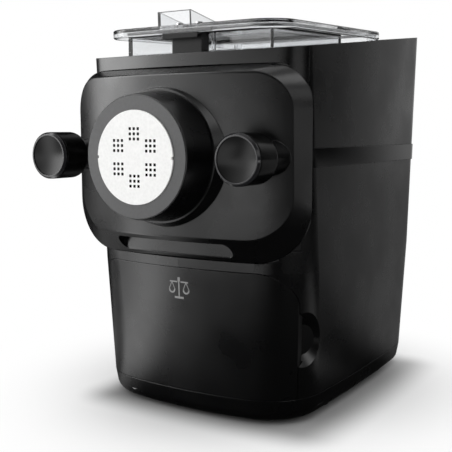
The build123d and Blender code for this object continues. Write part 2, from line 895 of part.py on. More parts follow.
def make_auger():
    """Screw with one flight around a core, and a square end that fits the paddle's hub."""
    rear = paddle_front_y - 2 * square_gap
    length = rear - auger_front_y
    half = math.radians(flight_angle / 2)
    inner = auger_core_radius / 4
    tip = (auger_radius * math.cos(half), auger_radius * math.sin(half))
    root = (inner * math.cos(half), inner * math.sin(half))
    edges = [
        Line((root[0], -root[1]), (tip[0], -tip[1])),
        ThreePointArc((tip[0], -tip[1]), (auger_radius, 0), tip),
        Line(tip, root),
        Line(root, (root[0], -root[1])),
    ]
    section = make_face(edges) + Circle(auger_core_radius)
    turn = 360.0 * length / auger_pitch
    screw = Solid.extrude_linear_with_rotation(section.face(), (0, 0, 0), (0, 0, length), turn)
    screw = Pos(0, rear, axis_z) * Rot(90, 0, 0) * screw
    return screw + square_bar(square_drive, rear - over, rear + square_length)


# ---- gears and gearbox ----------------------------------------
def involute(angle):
    return math.tan(angle) - angle


def gear_outline(module, teeth, first_tooth):
    """Spur gear outline with involute flanks."""
    press = math.radians(pressure_angle)
    pitch = module * teeth / 2
    base = pitch * math.cos(press)
    tip = pitch + module * 0.95
    root = pitch - module * 1.25
    half_tooth = math.pi / (2 * teeth) - tooth_backlash / (2 * pitch)
    start = max(base, root)
    radii = [start + (tip - start) * step / 4 for step in range(5)]
    flank = [(root, half_tooth + involute(press))] if root < base else []
    for radius in radii:
        flank.append((radius, half_tooth + involute(press) - involute(math.acos(base / radius))))
    points = []
    for tooth in range(teeth):
        centre = math.radians(first_tooth) + 2 * math.pi * tooth / teeth
        rising = [(radius, centre - angle) for radius, angle in flank]
        falling = [(radius, centre + angle) for radius, angle in reversed(flank)]
        points += [(r * math.cos(a), r * math.sin(a)) for r, a in rising + falling]
    return make_face(Polyline(*points, close=True))


def gear(module, teeth, first_tooth, y0, y1, z, bore):
    """Spur gear on an axis along Y; first_tooth is its angle in the front view."""
    front = Plane(origin=(0, y1, z), x_dir=(1, 0, 0), z_dir=(0, -1, 0))
    blank = extrude(front * gear_outline(module, teeth, first_tooth), y1 - y0)
    return blank - rod(bore, y0 - over, y1 + over, 0.0, z)


def gap_down(teeth):
    """First-tooth angle that puts a tooth gap straight down."""
    return -90.0 + 180.0 / teeth


def make_output_gear():
    rear = output_gear_y + output_gear_width
    wheel = gear(output_module, gear_teeth, gap_down(gear_teeth), output_gear_y, rear, axis_z,
                 output_shaft_radius + seat)
    web = tube(output_module * gear_teeth / 2 - 5 * output_module, bearing_radius,
               output_gear_y - over, output_gear_y + gear_web_depth)
    return wheel - web - Pos(0, output_gear_width - gear_web_depth + over, 0) * web


def make_idler_gear():
    return gear(input_module, gear_teeth, gap_down(gear_teeth), input_gear_y,
                input_gear_y + input_gear_width, idler_z, idler_shaft_radius + seat)


def make_pinion(module, z, shaft_radius, y, width):
    """Pinion with a tooth straight up, a little wider than the gear it drives."""
    extra = module / 4
    return gear(module, pinion_teeth, 90.0, y - extra, y + width + extra, z, shaft_radius + seat)


def gearbox_outline(grow, y0, y1):
    half = gearbox_low_radius + grow
    shape = rod(gearbox_top_radius + grow, y0, y1)
    shape += rod(gearbox_mid_radius + grow, y0, y1, 0, idler_z)
    shape += rod(half, y0, y1, 0, motor_z)
    return shape + block(-half, half, y0, y1, motor_z, axis_z)


def lug_spots():
    """Screw lugs around the three lobes of the gearbox."""
    lobes = (
        (axis_z, gearbox_top_radius, 35),
        (idler_z, gearbox_mid_radius, -9),
        (motor_z, gearbox_low_radius, -45),
    )
    spots = []
    for z, radius, angle in lobes:
        across = (radius + lug_offset) * math.cos(math.radians(angle))
        up = (radius + lug_offset) * math.sin(math.radians(angle))
        spots += [(-across, z + up), (across, z + up)]
    return spots


def bearing_seats(y, inward, bearing_bore, bush_bore, length):
    """Cylinders at the bearing and the idler bush, running inward from y."""
    y0, y1 = sorted((y, y + inward * length))
    return rod(bearing_bore, y0, y1) + rod(bush_bore, y0, y1, 0, idler_z)


def make_gearbox_half(y0, y1, outer_y, inward):
    """Half of the gearbox, closed at outer_y; inward is the way from there to the gears."""
    body = gearbox_outline(0, y0, y1)
    for x, z in lug_spots():
        body += rod(lug_radius, y0, y1, x, z)
    room = sorted((outer_y + inward * gearbox_wall, outer_y + inward * (y1 - y0 + over)))
    body -= gearbox_outline(-gearbox_wall, *room)
    for x, z in lug_spots():
        body += rod(lug_radius - 1.5 * over, y0, y1, x, z)
        body -= rod(lug_screw_radius + inner_gap, y0 - over, y1 + over, x, z)
    body += bearing_seats(outer_y, inward, bearing_radius + gearbox_wall, bush_radius + gearbox_wall,
                          bearing_width + over)
    body -= bearing_seats(outer_y + inward * over, inward, bearing_radius + seat, bush_radius + seat,
                          bearing_width + 2 * over)
    return body - rod(output_shaft_radius + 4 * over, y0 - over, y1 + over)


def make_gearbox_front():
    return make_gearbox_half(gearbox_front_y, gearbox_split_y, gearbox_front_y, 1)


def make_gearbox_rear():
    half = make_gearbox_half(gearbox_split_y, gearbox_rear_y, gearbox_rear_y, -1)
    return half - rod(bush_radius + over, gearbox_split_y, gearbox_rear_y + over, 0, motor_z)


def make_ball_bearing(y0):
    """Two rings and a set of balls around the output shaft."""
    y1 = y0 + bearing_width
    middle = (y0 + y1) / 2
    circle = (bearing_radius + output_shaft_radius) / 2
    half_space = 0.6 * bearing_ball
    race = Pos(0, middle, axis_z) * Rot(90, 0, 0) * Torus(circle, bearing_ball + seat)
    outer = tube(bearing_radius, circle + half_space, y0, y1) - race
    inner = tube(circle - half_space, output_shaft_radius + running, y0, y1) - race
    balls = []
    for index in range(bearing_balls):
        angle = 2 * math.pi * index / bearing_balls
        spot = (circle * math.cos(angle), middle, axis_z + circle * math.sin(angle))
        balls.append(Pos(*spot) * Sphere(bearing_ball))
    return [outer, inner] + balls


def make_shaft_bearings():
    front = gearbox_front_y + over + seat
    rear = gearbox_rear_y - over - seat - bearing_width
    return group(make_ball_bearing(front) + make_ball_bearing(rear))


def plain_bush(y0, z, shaft_radius):
    return tube(bush_radius, shaft_radius + running, y0, y0 + bush_width, 0, z)


def make_plain_bushes():
    """Two bushes for the idler shaft and two for the motor shaft."""
    front = gearbox_front_y + over + seat
    rear = gearbox_rear_y - over - seat - bush_width
    motor_front = motor_front_y + over + seat
    motor_rear = motor_end_y() - seat - bush_width
    bushes = [plain_bush(y0, idler_z, idler_shaft_radius) for y0 in (front, rear)]
    bushes += [plain_bush(y0, motor_z, motor_shaft_radius) for y0 in (motor_front, motor_rear)]
    return group(bushes)


def make_gearbox_screws():
    head = 1.8 * lug_screw_radius
    screws = []
    for x, z in lug_spots():
        shank = rod(lug_screw_radius, gearbox_front_y + over, gearbox_rear_y, x, z)
        screws.append(shank + rod(head, gearbox_rear_y, gearbox_rear_y + 2.5 * over, x, z))
    return group(screws)


# ---- motor ----------------------------------------
def motor_end_y():
    """Level Y of the rear end of the rear bush's seat."""
    return motor_cap_y + motor_cap_length - 1.5 * over


def make_motor_can():
    y0, y1 = motor_front_y, motor_cap_y
    can = rod(motor_radius, y0, y1, 0, motor_z)
    can -= rod(motor_radius - motor_wall, y0 + motor_wall, y1 + over, 0, motor_z)
    can += rod(bush_radius + 2 * over, y0, y0 + bush_width + over, 0, motor_z)
    can -= rod(bush_radius + seat, y0 + over, y0 + bush_width + 2 * over, 0, motor_z)
    can -= rod(motor_shaft_radius + slide_gap, y0 - over, y0 + 2 * over, 0, motor_z)
    middle = motor_radius - motor_wall / 2
    for index in range(4):
        angle = math.pi / 4 + index * math.pi / 2
        x = middle * math.cos(angle)
        z = motor_z + middle * math.sin(angle)
        can -= rod(1.5 * motor_wall, y1 - 4 * motor_wall, y1 - 2 * motor_wall, x, z)
    return can


def make_motor_magnets():
    y0 = motor_front_y + magnet_setback
    y1 = y0 + magnet_length
    ring = tube(motor_radius - motor_wall - seat, magnet_inner_radius, y0, y1, 0, motor_z)
    split = magnet_inner_radius / 3
    ring -= block(-split, split, y0 - over, y1 + over, motor_z - motor_radius, motor_z + motor_radius)
    return group(ring.solids())


def make_motor_end_cap():
    """End cap with the rear bush's seat and two brush holders."""
    y0, y1 = motor_cap_y, motor_cap_y + motor_cap_length
    inside = y0 - 1.5 * over
    cap = rod(motor_radius, y0, y1, 0, motor_z)
    cap += rod(bush_radius + 2 * over, inside, y1, 0, motor_z)
    cap -= rod(bush_radius + seat, inside - over, motor_end_y(), 0, motor_z)
    brush = bush_radius * 0.6
    for side in (-1, 1):
        x = side * (bush_radius + motor_radius) / 2
        cap += block(x - brush, x + brush, y0 - 3 * over, y0, motor_z - brush, motor_z + brush)
    return cap


def make_rotor():
    """Slotted core with its commutator behind it."""
    y0 = motor_front_y + magnet_setback
    core_end = y0 + magnet_length - 2 * over
    radius = magnet_inner_radius - rotor_gap
    slot = radius / 9
    core = rod(radius, y0, core_end, 0, motor_z)
    for index in range(rotor_slots):
        angle = 2 * math.pi * index / rotor_slots
        x = (radius - slot / 2) * math.cos(angle)
        z = motor_z + (radius - slot / 2) * math.sin(angle)
        core -= rod(slot, y0 - over, core_end + over, x, z)
    commutator_end = core_end + 3 * over
    core += rod(radius / 2.3, core_end - over, commutator_end, 0, motor_z)
    return core - rod(motor_shaft_radius + seat, y0 - over, commutator_end + over, 0, motor_z)


def make_cooling_fan():
    hub = 2.8 * motor_shaft_radius
    tip = magnet_inner_radius
    depth = 5.0
    y0 = motor_front_y + bush_width + 2 * over
    fan = rod(hub, y0, y0 + depth, 0, motor_z)
    blade_length = tip - hub + over
    for index in range(fan_blades):
        turn = Rot(0, 360 * index / fan_blades, 0)
        stand = Pos(0, y0 + depth / 2, motor_z) * turn * Rot(90, 0, 0)
        blade = Rot(35, 0, 0) * Box(blade_length, depth - over, over)
        fan += stand * Pos(tip - blade_length / 2, 0, 0) * blade
    return fan - rod(motor_shaft_radius + seat, y0 - over, y0 + depth + over, 0, motor_z)


# ---- power board and inlet ----------------------------------------
def make_power_board():
    """Board on four posts, with a transformer, a heat sink and two capacitors."""
    left, right = power_board_x - power_board_width / 2, power_board_x + power_board_width / 2
    front, rear = power_board_front_y, power_board_front_y + power_board_depth
    low = pan_floor_z + standoff
    top = low + board_thickness
    board = block(left, right, front, rear, low, top)
    for x in (left + standoff, right - standoff):
        for y in (front + standoff, rear - standoff):
            board += pillar(standoff_radius, x, y, pan_floor_z, low)
    x, y = left + 2 * standoff, front + 2 * standoff
    board += block(x, x + transformer_width, y, y + transformer_depth, top, top + transformer_height)
    x = right - 2 * standoff
    board += block(x - sink_width, x, y, y + sink_thickness, top, top + sink_height)
    for step in (1, 2):
        board += pillar(capacitor_radius, x - 2 * capacitor_radius, y + 3 * step * capacitor_radius,
                        top, top + capacitor_height)
    return board


def make_power_inlet():
    """Cord gland in the rear wall; no cord is fitted."""
    outside = inlet_rear_y()
    gland = rod(inlet_radius, outside - inlet_depth, outside + 1.5 * over, inlet_x, inlet_z)
    flange_front = outside - 2 * wall - 2.4 * over
    gland += rod(inlet_radius + 3 * over, flange_front, flange_front + wall, inlet_x, inlet_z)
    return gland - rod(inlet_bore, outside - inlet_depth - over, outside + 3 * over, inlet_x, inlet_z)


# ---- front panel group ----------------------------------------
def rounded_front(half_width, low, high, radius, low_radius):
    """Rounded rectangle in the front view, centred in X."""
    outline = Pos(0, (low + high) / 2) * Rectangle(2 * half_width, high - low)
    outline = fillet(outline.vertices().sort_by(Axis.Y)[-2:], radius)
    return fillet(outline.vertices().sort_by(Axis.Y)[:2], low_radius)


def front_plane(y):
    """Front-view plane at one level Y."""
    return Plane(origin=(0, y, 0), x_dir=(1, 0, 0), z_dir=(0, -1, 0))


def bowed_prism(half_width, edge_y, bow, forward=0.0):
    """Everything behind a bowed upright face, which stands further out by forward."""
    points = []
    for step in range(-bow_steps, bow_steps + 1):
        x = reach * step / bow_steps
        points.append((x, edge_y - forward - bow * (1 - abs(x / half_width) ** bow_power)))
    back = reach + bow
    outline = make_face([Spline(*points), Polyline(points[-1], (reach, back), (-reach, back), points[0])])
    return Pos(0, 0, panel_rear_bottom_z / 2) * extrude(outline, panel_rear_top_z)


def face_prism(forward=0.0):
    """Everything behind the panel's face; it leans back towards its lower edge."""
    lean = math.degrees(math.atan2(panel_lean, panel_face_top_z - panel_face_bottom_z))
    hinge = Pos(0, face_y, panel_face_top_z)
    prism = bowed_prism(panel_face_half_width, face_y, face_bow, forward)
    return hinge * Rot(lean, 0, 0) * hinge.inverse() * prism


def rim_prism(forward=0.0):
    """Everything behind the panel's rear edge."""
    return bowed_prism(panel_rear_half_width, panel_rear_y, rim_bow, forward)


def trimmed_front(outline, prism):
    """The front of a bowed prism inside a front-view outline."""
    plate = extrude(front_plane(panel_rear_y + panel_depth) * outline, reach) & prism
    return plate.faces().sort_by(Axis.Y)[0]


def make_panel_blank():
    """Bowed plate with bevels from its face to its rear edge."""
    face = trimmed_front(rounded_front(panel_face_half_width, panel_face_bottom_z, panel_face_top_z,
                                       panel_face_radius, panel_face_low_radius), face_prism())
    rear = trimmed_front(rounded_front(panel_rear_half_width, panel_rear_bottom_z, panel_rear_top_z,
                                       panel_rear_radius, panel_rear_low_radius), rim_prism())
    bevels = Shell.make_loft([rear.outer_wire(), face.outer_wire()], ruled=True)
    blank = Solid(Shell([*bevels.faces(), face, rear]))
    return fillet(blank.faces().sort_by(Axis.Y)[0].edges(), panel_edge_round)


def panel_hollow(sleeve):
    """Room behind the face, without the sleeve, the bosses and the ribs that stay."""
    outline = rounded_front(panel_rear_half_width - 2 * panel_border, panel_face_bottom_z + 2 * over,
                            panel_face_top_z - panel_border, panel_face_radius - panel_border / 2,
                            panel_face_radius - panel_border / 2)
    hollow = extrude(front_plane(panel_rear_y + over) * outline, reach) & face_prism(-panel_skin)
    hollow -= rod(sleeve, -reach, panel_rear_y - tube_seat_depth())
    for side in (-1, 1):
        hollow -= rod(boss_rear_radius, -reach, panel_rear_y + 2 * over, side * knob_x)
        x0, x1 = sorted((side * (sleeve - over), side * (knob_x - boss_rear_radius + over)))
        hollow -= block(x0, x1, -reach, panel_rear_y + 2 * over, axis_z - panel_rib / 2, axis_z + panel_rib / 2)
    return hollow


def make_front_panel():
    sleeve = tube_outer_radius + 12 * over
    panel = make_panel_blank() - panel_hollow(sleeve)
    panel += rod(sleeve, face_front_y + panel_skin, panel_rear_y - tube_seat_depth())
    for side in (-1, 1):
        x = side * knob_x
        panel += taper(boss_front_radius, boss_rear_radius, boss_front_y, face_y + panel_lean, x)
        panel += rod(boss_rear_radius, face_y, panel_rear_y, x)
        panel -= rod(rod_radius + rod_gap, boss_front_y - over, panel_rear_y + over, x)
    panel += taper(snout_rear_radius + 1.5 * over, halo_radius, snout_seat_y, face_y - face_bow / 2)
    panel -= rod(tube_outer_radius + disc_gap, snout_seat_y - over, panel_rear_y + over)
    return panel - grip_recess()


def tube_seat_depth():
    """How far the tube's seat lies inside the panel's back."""
    return tube_flange_thickness + slide_gap


def grip_recess():
    """Finger grip cut level under the face, with a thin wall left behind it."""
    low = panel_rear_bottom_z + grip_rise
    slot = block(-grip_half_width, grip_half_width, face_front_y - over, panel_rear_y, low,
                 low + grip_height)
    slot = fillet(slot.edges().filter_by(Axis.Y), grip_height / 2 - 0.1)
    return slot - rim_prism(grip_wall)


def make_outlet_collar():
    rear = snout_seat_y - 2 * seat
    collar = taper(snout_front_radius, snout_rear_radius, snout_front_y, rear)
    collar = fillet(collar.edges().sort_by(Axis.Y)[0], 0.8 * over)
    collar -= rod(disc_radius + disc_gap, snout_front_y - over,
                  disc_rear_y + tube_flange_thickness + disc_gap)
    collar -= rod(tube_outer_radius + disc_gap, snout_front_y, rear + over)
    collar -= rod(ring_outer_radius + seat, snout_front_y - over, snout_front_y + ring_thickness)
    hollow = taper(snout_front_radius - snout_wall, snout_rear_radius - snout_wall,
                   snout_front_y + 3 * snout_wall, rear + over)
    return collar - (hollow - rod(tube_outer_radius + snout_wall, snout_front_y, rear + 2 * over))


def make_collar_ring():
    return tube(ring_outer_radius, disc_radius + disc_gap, snout_front_y - ring_proud,
                snout_front_y + ring_thickness - seat)


def disc_hole_centres():
    """Centres of the square holes: groups on a circle, each a small upright grid."""
    middle = (hole_rows - 1) / 2
    centres = []
    for sector in range(hole_groups):
        angle = math.pi / 2 + 2 * math.pi * sector / hole_groups
        gx = hole_circle * math.cos(angle)
        gz = axis_z + hole_circle * math.sin(angle)
        for row in range(hole_rows):
            for column in range(hole_rows):
                centres.append((gx + (column - middle) * hole_pitch, gz + (row - middle) * hole_pitch))
    return centres


def make_shaping_disc():
    disc = rod(disc_radius, disc_front_y, disc_rear_y)
    disc = fillet(disc.edges().sort_by(Axis.Y)[0], disc_thickness / 10)
    half = hole_side / 2
    for x, z in disc_hole_centres():
        disc -= block(x - half, x + half, disc_front_y - over, disc_rear_y + over, z - half, z + half)
    for side in (-1, 1):
        x0, x1 = sorted((side * (disc_radius - 1.4 * notch_size), side * (disc_radius + over)))
        disc -= block(x0, x1, disc_front_y - over, disc_front_y + disc_thickness / 2,
                      axis_z - notch_size / 2, axis_z + notch_size / 2)
    return disc


def make_extrusion_tube():
    """Tube from the chamber to the disc, with a front flange and a seat behind the panel."""
    front = disc_rear_y + seat
    seat_y = panel_rear_y - tube_seat_depth() + seat
    body = rod(tube_outer_radius, front, chamber_front_y + clear_wall)
    body += rod(tube_flange_radius, front, front + tube_flange_thickness)
    body += rod(tube_outer_radius + 8 * over, seat_y, seat_y + tube_flange_thickness)
    return body - rod(tube_inner_radius, front - over, chamber_front_y + clear_wall + over)


# ---- knobs ----------------------------------------
def make_knob_grip(x):
    face = knob_face_y
    body_front = face + knob_ring_depth
    grip = rod(knob_radius, body_front + knob_groove, knob_rear_y, x)
    grip = fillet(grip.edges().sort_by(Axis.Y)[-1], knob_rear_round)
    grip = fillet(grip.edges().sort_by(Axis.Y)[0], knob_groove / 2)
    grip += rod(knob_radius - 1.5 * knob_groove, body_front, body_front + knob_groove + over, x)
    grip += rod(knob_ring_inner - seat, face + knob_dish / 2, body_front + over, x)
    grip += rod(neck_radius, knob_rear_y - over, boss_front_y - rod_gap, x)
    ball = (knob_ring_inner ** 2 + knob_dish ** 2) / (2 * knob_dish)
    dish = Pos(x, face - ball + 1.5 * knob_dish, axis_z) * Sphere(ball)
    return grip - dish - rod(rod_radius + rod_gap, rod_front_y - 2 * over, boss_front_y, x)


def make_knob_ring(x):
    """Bright ring around the knob's face, with a sloping front."""
    face = knob_face_y
    ring = rod(knob_radius - 3 * seat, face, face + knob_ring_depth - seat, x)
    ring = chamfer(ring.edges().sort_by(Axis.Y)[0], knob_ring_chamfer)
    return ring - rod(knob_ring_inner, face - over, face + knob_ring_depth + over, x)


# ---- lid ----------------------------------------
def lid_block(x0, x1, y0, y1, n0, n1):
    """Block in the lid's slanted frame; y0 and y1 are measured in the machine's frame."""
    return lid_frame() * block(x0, x1, y0 - lid_y, y1 - lid_y, n0, n1)


def lid_slab(inset, n0, n1):
    middle = lid_front_y + lid_length / 2 - lid_y
    outline = Pos(0, middle) * RectangleRounded(
        2 * (lid_half_width - inset), lid_length - 2 * inset, lid_corner_radius - inset)
    return lid_frame() * (Pos(0, 0, n0) * extrude(outline, n1 - n0))


def funnel_wedge():
    """Wedge that is high at the front and runs out into the lid towards the rear."""
    y0 = funnel_front_y - lid_y
    y1 = y0 + funnel_length
    low = lid_height - over
    side = make_face(Polyline((y0, low), (y1, low), (y1, lid_height + slide_gap),
                              (y0, lid_height + funnel_height), close=True))
    plane = Plane(origin=(funnel_x - funnel_half_width, 0, 0), x_dir=(0, 1, 0), z_dir=(1, 0, 0))
    return lid_frame() * extrude(plane * side, 2 * funnel_half_width)


def key_screw_spots():
    """Screw positions in the lid's own frame."""
    y = key_front_y + 0.4 * key_depth - lid_y
    return [(side * key_screw_x, y) for side in (-1, 1)]


def make_lid():
    lid = lid_slab(0.0, 0.0, lid_height)
    lid = fillet(lid.faces().sort_by(Axis.Z)[-1].edges(), lid_edge_round)
    lid -= lid_slab(lid_skirt, -over, lid_height - lid_plate)
    lid += funnel_wedge()
    left = funnel_x - funnel_half_width + funnel_wall
    right = funnel_x + funnel_half_width - funnel_wall
    rear = funnel_front_y + funnel_length - funnel_wall
    lid -= lid_block(left, right, funnel_front_y + funnel_wall, rear, lid_height,
                     lid_height + 2 * funnel_height)
    for slot in range(funnel_slots):
        y = funnel_front_y + 4 * funnel_wall + funnel_slot_pitch * slot
        lid -= lid_block(left + 1.5 * funnel_wall, right - 1.5 * funnel_wall, y, y + funnel_slot,
                         0, lid_height + over)
    half = lid_foot_size / 2
    for x in (-lid_foot_x, lid_foot_x):
        foot = block(x - half, x + half, lid_foot_y - half, lid_foot_y + half, rim_front_z, housing_top_z)
        foot -= below(deck_frame(), deck_drop - rod_gap)
        lid += foot & below(lid_frame(), over - lid_height)
    for x, y in key_screw_spots():
        lid -= lid_frame() * pillar(key_screw_radius + inner_gap, x, y, 0, lid_height + over)
    return lid


def make_lid_seal():
    half = chamber_radius
    low = slide_gap + rod_gap
    high = lid_height - lid_plate
    ring = lid_block(-half, half, chamber_front_y, chamber_rear_y, low, high)
    return ring - lid_block(seal_rib - half, half - seal_rib, chamber_front_y + seal_rib,
                            chamber_rear_y - seal_rib, low - over, high + over)


def make_lid_key():
    """Dark block under the lid's front that presses the lid switch."""
    high = lid_height - lid_plate
    tab_top = lid_z - slide_gap
    key = block(-key_half_width, key_half_width, key_front_y, key_front_y + key_depth,
                key_bottom_z, housing_top_z)
    key += block(-key_tab_half_width, key_tab_half_width, key_tab_front_y, key_front_y + 2 * over,
                 tab_top - key_tab_height, tab_top)
    key = key & below(lid_frame(), -high)
    key += lid_block(-key_flange_half_width, key_flange_half_width, key_front_y,
                     key_front_y + key_depth, high - 2 * over, high)
    for x, y in key_screw_spots():
        key -= lid_frame() * pillar(key_screw_radius + seat, x, y, -2 * key_tab_height, high + over)
    return key


def make_lid_key_screws():
    screws = []
    for x, y in key_screw_spots():
        screw = pillar(key_screw_radius, x, y, -1.5 * key_tab_height, lid_height + slide_gap)
        screw += pillar(key_screw_head, x, y, lid_height + seat, lid_height + 1.5 * over)
        screws.append(lid_frame() * screw)
    return group(screws)


# ---- drawer ----------------------------------------
def make_drawer_front(shell):
    return shell & drawer_profile(0.0)


def make_drawer_tray():
    """Open box whose front wall follows the drawer front's inside."""
    top = tray_bottom_z + tray_height
    outer = block(-tray_half_width, tray_half_width, -reach, tray_rear_y, tray_bottom_z, top)
    inner_half = tray_half_width - bay_wall
    room = block(-inner_half, inner_half, -reach, tray_rear_y - bay_wall,
                 tray_bottom_z + bay_wall, top + over)
    return (outer & housing(wall + seat)) - (room & housing(wall + seat + bay_wall))


# ---- write every node ----------------------------------------
def save_covers():
    shell = skin()
    covers = make_covers(shell, housing())
    save("left_cover", make_side_cover(covers, -1))
    save("right_cover", make_side_cover(covers, 1))
    save("rear_cover", make_rear_cover(covers))
    save("front_fascia", make_front_fascia(shell))
    save("side_band", make_side_band())
    save("drawer_front", make_drawer_front(shell))
    save("drawer_tray", make_drawer_tray())
    save("drawer_bay", make_drawer_bay())


def save_base():
    save("base_pan", make_base_pan())
    save("feet", make_feet())
    save("load_cells", make_load_cells())
    save("base_screws", make_base_screws())
    save("power_inlet", make_power_inlet())


def save_controls():
    save("top_deck", make_top_deck())
    save("control_panel", make_control_panel())
    save("display_window", make_display_window())
    save("circuit_boards", group([make_control_board(), make_power_board()]))
    save("lid_sensor", make_lid_sensor())
    for name, spot in zip(button_names, button_spots()):
        save(name, make_button(*spot))


def save_frame():
    save("chassis_plate", make_chassis_plate())
    save("bulkhead", make_bulkhead())
    save("chamber_cradle", make_chamber_cradle())
    save("tie_rods", make_tie_rods())


def save_mixer():
    save("mixing_chamber", make_mixing_chamber())
    save("shaft_seal", make_shaft_seal())
    save("mixing_paddle", make_mixing_paddle())
    save("drive_coupling", make_drive_coupling())
    save("auger", make_auger())


def save_gearbox():
    shaft_end = gearbox_rear_y - over - inner_gap
    idler_start = gearbox_front_y + over + inner_gap
    save("output_shaft", rod(output_shaft_radius, shaft_front_y(), shaft_end))
    save("output_gear", make_output_gear())
    save("idler_shaft", rod(idler_shaft_radius, idler_start, shaft_end, 0, idler_z))
    save("idler_pinion", make_pinion(output_module, idler_z, idler_shaft_radius,
                                     output_gear_y, output_gear_width))
    save("idler_gear", make_idler_gear())
    save("motor_pinion", make_pinion(input_module, motor_z, motor_shaft_radius,
                                     input_gear_y, input_gear_width))
    save("gearbox_case", group([make_gearbox_front(), make_gearbox_rear()]))
    save("gearbox_screws", make_gearbox_screws())
    save("shaft_bearings", make_shaft_bearings())
    save("plain_bushes", make_plain_bushes())


def save_motor():
    save("motor_can", make_motor_can())
    save("motor_magnets", make_motor_magnets())
    save("motor_end_cap", make_motor_end_cap())
    save("motor_shaft", rod(motor_shaft_radius, input_gear_y - over, motor_end_y() - slide_gap, 0, motor_z))
    save("rotor", make_rotor())
    save("cooling_fan", make_cooling_fan())


def save_front():
    save("front_panel", make_front_panel())
    save("outlet_collar", make_outlet_collar())
    save("collar_ring", make_collar_ring())
    save("shaping_disc", make_shaping_disc())
    save("extrusion_tube", make_extrusion_tube())
    for name, side in (("left", -1), ("right", 1)):
        save(f"{name}_knob_grip", make_knob_grip(side * knob_x))
        save(f"{name}_knob_ring", make_knob_ring(side * knob_x))


def save_lid():
    save("lid", make_lid())
    save("lid_seal", make_lid_seal())
    save("lid_key", make_lid_key())
    save("lid_key_screws", make_lid_key_screws())


save_covers()
save_base()
save_controls()
save_frame()
save_mixer()
save_gearbox()
save_motor()
save_front()
save_lid()
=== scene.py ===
# %% [markdown]
# # Electric pasta maker: looks around a fixed frame
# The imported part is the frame: every CAD node is already in place and rides on its body.
# This lesson gives the frame its light and its finishes, and adds the pieces that are
# made in Blender: a perforated disc, socket screws and printed signs.
# All lengths are metres, and the front of the machine faces -Y.

# %% Load the frame
import bpy
import bmesh
import json
import math
from mathutils import Matrix, Vector


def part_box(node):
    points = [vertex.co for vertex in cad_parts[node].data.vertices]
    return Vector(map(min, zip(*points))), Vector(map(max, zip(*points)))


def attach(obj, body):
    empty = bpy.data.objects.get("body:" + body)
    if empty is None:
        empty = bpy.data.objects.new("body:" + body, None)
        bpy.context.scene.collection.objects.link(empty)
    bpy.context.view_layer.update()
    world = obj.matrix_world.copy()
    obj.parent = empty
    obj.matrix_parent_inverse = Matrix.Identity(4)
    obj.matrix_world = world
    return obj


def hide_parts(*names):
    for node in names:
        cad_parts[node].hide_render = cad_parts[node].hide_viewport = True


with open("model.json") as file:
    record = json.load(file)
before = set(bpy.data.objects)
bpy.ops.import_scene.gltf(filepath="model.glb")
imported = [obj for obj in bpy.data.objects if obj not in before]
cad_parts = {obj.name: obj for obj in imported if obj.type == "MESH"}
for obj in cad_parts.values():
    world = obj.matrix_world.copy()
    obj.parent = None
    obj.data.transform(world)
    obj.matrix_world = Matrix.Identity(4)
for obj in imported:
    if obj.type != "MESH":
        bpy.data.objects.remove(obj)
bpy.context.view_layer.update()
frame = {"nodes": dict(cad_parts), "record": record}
nodes = frame["nodes"]
MM = 0.001

# %% [markdown]
# ## Camera
# The view is a slight bird's eye from the front right. A long lens keeps the upright
# edges nearly parallel, as a catalogue picture does. A direction and a place are enough:
# to_track_quat turns the camera so that its -Z looks along the direction.

# %% Camera
VIEW_TURN, VIEW_DROP = math.radians(32.15), math.radians(6.78)
VIEW_PLACE = Vector((0.35847, -0.61287, 0.22341))
LENS_MM, SENSOR_MM = 64.43, 36.0
NEAREST = 0.01          # nothing closer to the camera than this is drawn

look = Vector((-math.sin(VIEW_TURN) * math.cos(VIEW_DROP),
               math.cos(VIEW_TURN) * math.cos(VIEW_DROP), -math.sin(VIEW_DROP)))
camera = bpy.data.objects.new("camera", bpy.data.cameras.new("camera"))
camera.data.sensor_width = SENSOR_MM
camera.data.lens = LENS_MM
camera.data.clip_start = NEAREST
camera.location = VIEW_PLACE
camera.rotation_euler = look.to_track_quat("-Z", "Y").to_euler()
bpy.context.scene.collection.objects.link(camera)
bpy.context.scene.camera = camera
bpy.context.scene.view_settings.view_transform = "Standard"
print("camera looks along", tuple(round(v, 3) for v in look))

# %% [markdown]
# ## Small helpers for node trees
# Every finish below is a node tree. Four helpers keep the cells short: they add a node
# and set its sockets, link two sockets, calculate with one or two values, and step
# smoothly from one level to another.


# %% Node helpers
def add_node(tree, kind, **sockets):
    """Adds a node; a word that names a socket sets it, any other word sets a property."""
    node = tree.nodes.new(kind)
    for key, value in sockets.items():
        name = key.replace("_", " ")
        match = [s for s in node.inputs if s.name.lower() == name.lower()]
        if match:
            match[0].default_value = value
        else:
            setattr(node, key, value)
    return node


def link(tree, source, target):
    tree.links.new(source, target)


def calc(tree, operation, first, second=0.0, clamp=False):
    """Math node; first and second are sockets or numbers."""
    node = tree.nodes.new("ShaderNodeMath")
    node.operation = operation
    node.use_clamp = clamp
    for slot, value in zip(node.inputs, (first, second)):
        if isinstance(value, (int, float)):
            slot.default_value = value
        else:
            link(tree, value, slot)
    return node.outputs[0]


def ramp(tree, value, low, high, out_low=0.0, out_high=1.0):
    """Smooth step of a value between low and high."""
    node = tree.nodes.new("ShaderNodeMapRange")
    node.interpolation_type = "SMOOTHSTEP"
    node.inputs["From Min"].default_value = low
    node.inputs["From Max"].default_value = high
    node.inputs["To Min"].default_value = out_low
    node.inputs["To Max"].default_value = out_high
    link(tree, value, node.inputs["Value"])
    return node.outputs["Result"]


print("node helpers ready")

